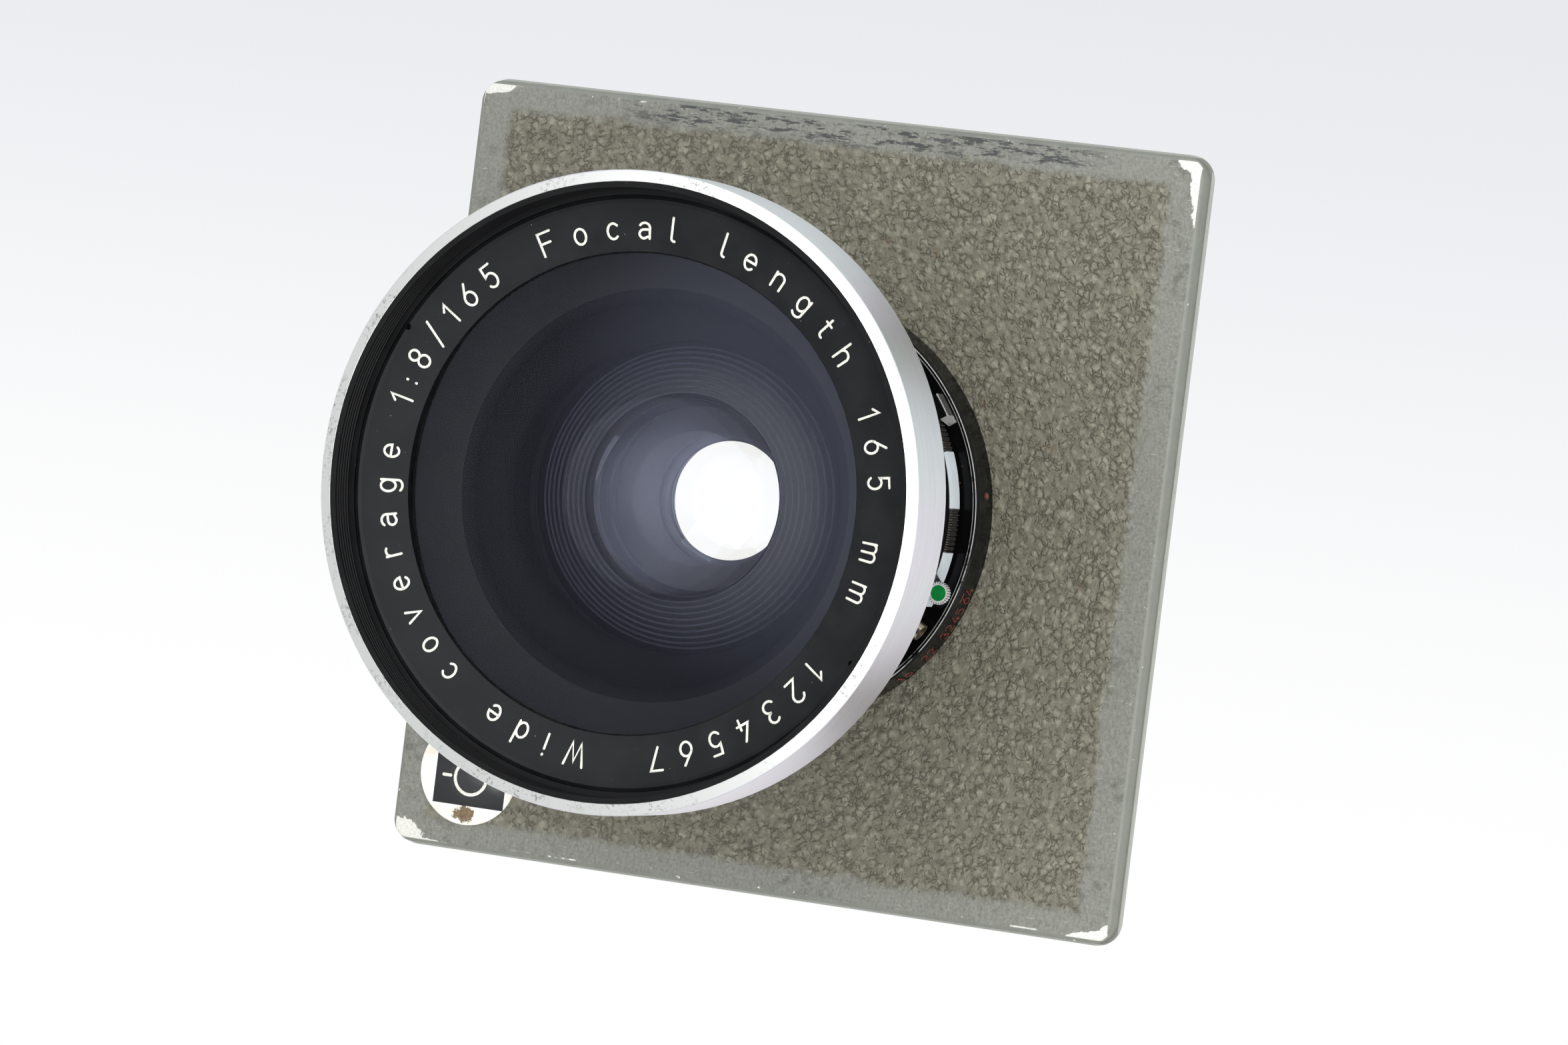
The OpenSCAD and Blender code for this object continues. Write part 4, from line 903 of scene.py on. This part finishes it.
def badge_mark():
    """A dark panel across the badge, and on it a plain circle with a short line on either side."""
    top = BADGE_TOP + ENAMEL_LIFT
    corners = [(-PANEL_HALF_W, PANEL_FOOT), (PANEL_HALF_W, PANEL_FOOT),
               (PANEL_HALF_W, PANEL_HEAD), (-PANEL_HALF_W, PANEL_HEAD)]
    points = [(PANEL_X + x, BADGE_Y + y, top) for x, y in corners]
    panel = make_piece("badge_panel", points, [(0, 1, 2, 3)], [MARK_DARK], "case")
    points, faces = [], []
    middle = BADGE_Y + (PANEL_FOOT + PANEL_HEAD) / 2
    for stroke in (arc(0, 0, 3.1, 3.1, 0, 360), [(-5.4, 0), (-4.0, 0)], [(4.0, 0), (5.4, 0)]):
        flat, quads = ribbon(stroke, 0.6)
        start = len(points)
        points.extend((PANEL_X + x, middle + y, top + ENAMEL_LIFT) for x, y in flat)
        faces.extend(tuple(start + k for k in quad) for quad in quads)
    sign = make_piece("badge_sign", points, faces, [ENGRAVED], "case")
    thicken(panel, ENAMEL_LIFT)
    thicken(sign, ENAMEL_LIFT)


badge_mark()


# ---------------------------------------------------------------- studio


def floor():
    """A pale glowing table top that is whitest towards the front of the picture."""
    s = Surface("table_white", (0.0, 0.0, 0.0), 1.0)
    s.shader.inputs["Specular IOR Level"].default_value = 0.0
    glow = s.mix(s.ramp(s.y, 125 * MM, -60 * MM), srgb(231, 233, 237), (1.0, 1.0, 1.0))
    s.feed(s.shader.inputs["Emission Color"], glow)
    s.shader.inputs["Emission Strength"].default_value = 1.0
    mesh = bpy.data.meshes.new("table")
    half = 1.6
    corners = [(-half, -half, 0), (half, -half, 0), (half, half, 0), (-half, half, 0)]
    mesh.from_pydata(corners, [], [(0, 1, 2, 3)])
    mesh.materials.append(s.material)
    table = bpy.data.objects.new("table", mesh)
    table.location.z = cad_box[0][2] - 0.0002
    scene.collection.objects.link(table)


def surroundings():
    """A white tent, brightest overhead and to the right."""
    world = bpy.data.worlds.new("tent")
    scene.world = world
    world.use_nodes = True
    tree = world.node_tree
    place = tree.nodes.new("ShaderNodeTexCoord")
    toward = tree.nodes.new("ShaderNodeVectorMath")
    toward.operation = "DOT_PRODUCT"
    toward.inputs[1].default_value = Vector((0.24, 0.28, 0.93)).normalized()
    tree.links.new(place.outputs["Generated"], toward.inputs[0])
    shine = tree.nodes.new("ShaderNodeMapRange")
    shine.interpolation_type = "SMOOTHSTEP"
    shine.inputs["From Min"].default_value = 0.6
    shine.inputs["From Max"].default_value = 0.98
    shine.inputs["To Min"].default_value = 0.85
    shine.inputs["To Max"].default_value = 3.0
    tree.links.new(toward.outputs["Value"], shine.inputs["Value"])
    background = tree.nodes["Background"]
    background.inputs["Color"].default_value = (0.96, 0.98, 1.0, 1.0)
    tree.links.new(shine.outputs["Result"], background.inputs["Strength"])


def softbox(name, place, size, energy):
    """A square soft light aimed at the middle of the lens."""
    light = bpy.data.lights.new(name, "AREA")
    light.shape = "SQUARE"
    light.size = size
    light.energy = energy
    lamp = bpy.data.objects.new(name, light)
    lamp.location = place
    aim = Vector((0, 0, 0.07)) - Vector(place)
    lamp.rotation_euler = aim.to_track_quat("-Z", "Y").to_euler()
    scene.collection.objects.link(lamp)


def camera():
    """Over the right-hand side of the lens, turned a little so that the board leans."""
    place = Vector((0.5185, 0.0286, 1.3824))
    target = Vector((-0.00092, -0.00328, 0.05))
    roll = 7.03
    back = (place - target).normalized()
    right = Vector((0, 1, 0)).cross(back).normalized()
    up = back.cross(right)
    turn = Matrix((right, up, back)).transposed() @ Matrix.Rotation(math.radians(roll), 3, "Z")
    data = bpy.data.cameras.new("camera")
    data.sensor_width = 36.0
    data.lens = 182.9
    data.clip_start = 0.05
    view = bpy.data.objects.new("camera", data)
    view.matrix_world = Matrix.Translation(place) @ turn.to_4x4()
    scene.collection.objects.link(view)
    scene.camera = view


floor()
surroundings()
softbox("key", (0.9, -0.5, 0.9), 0.7, 5.0)
camera()
scene.view_settings.view_transform = "Standard"
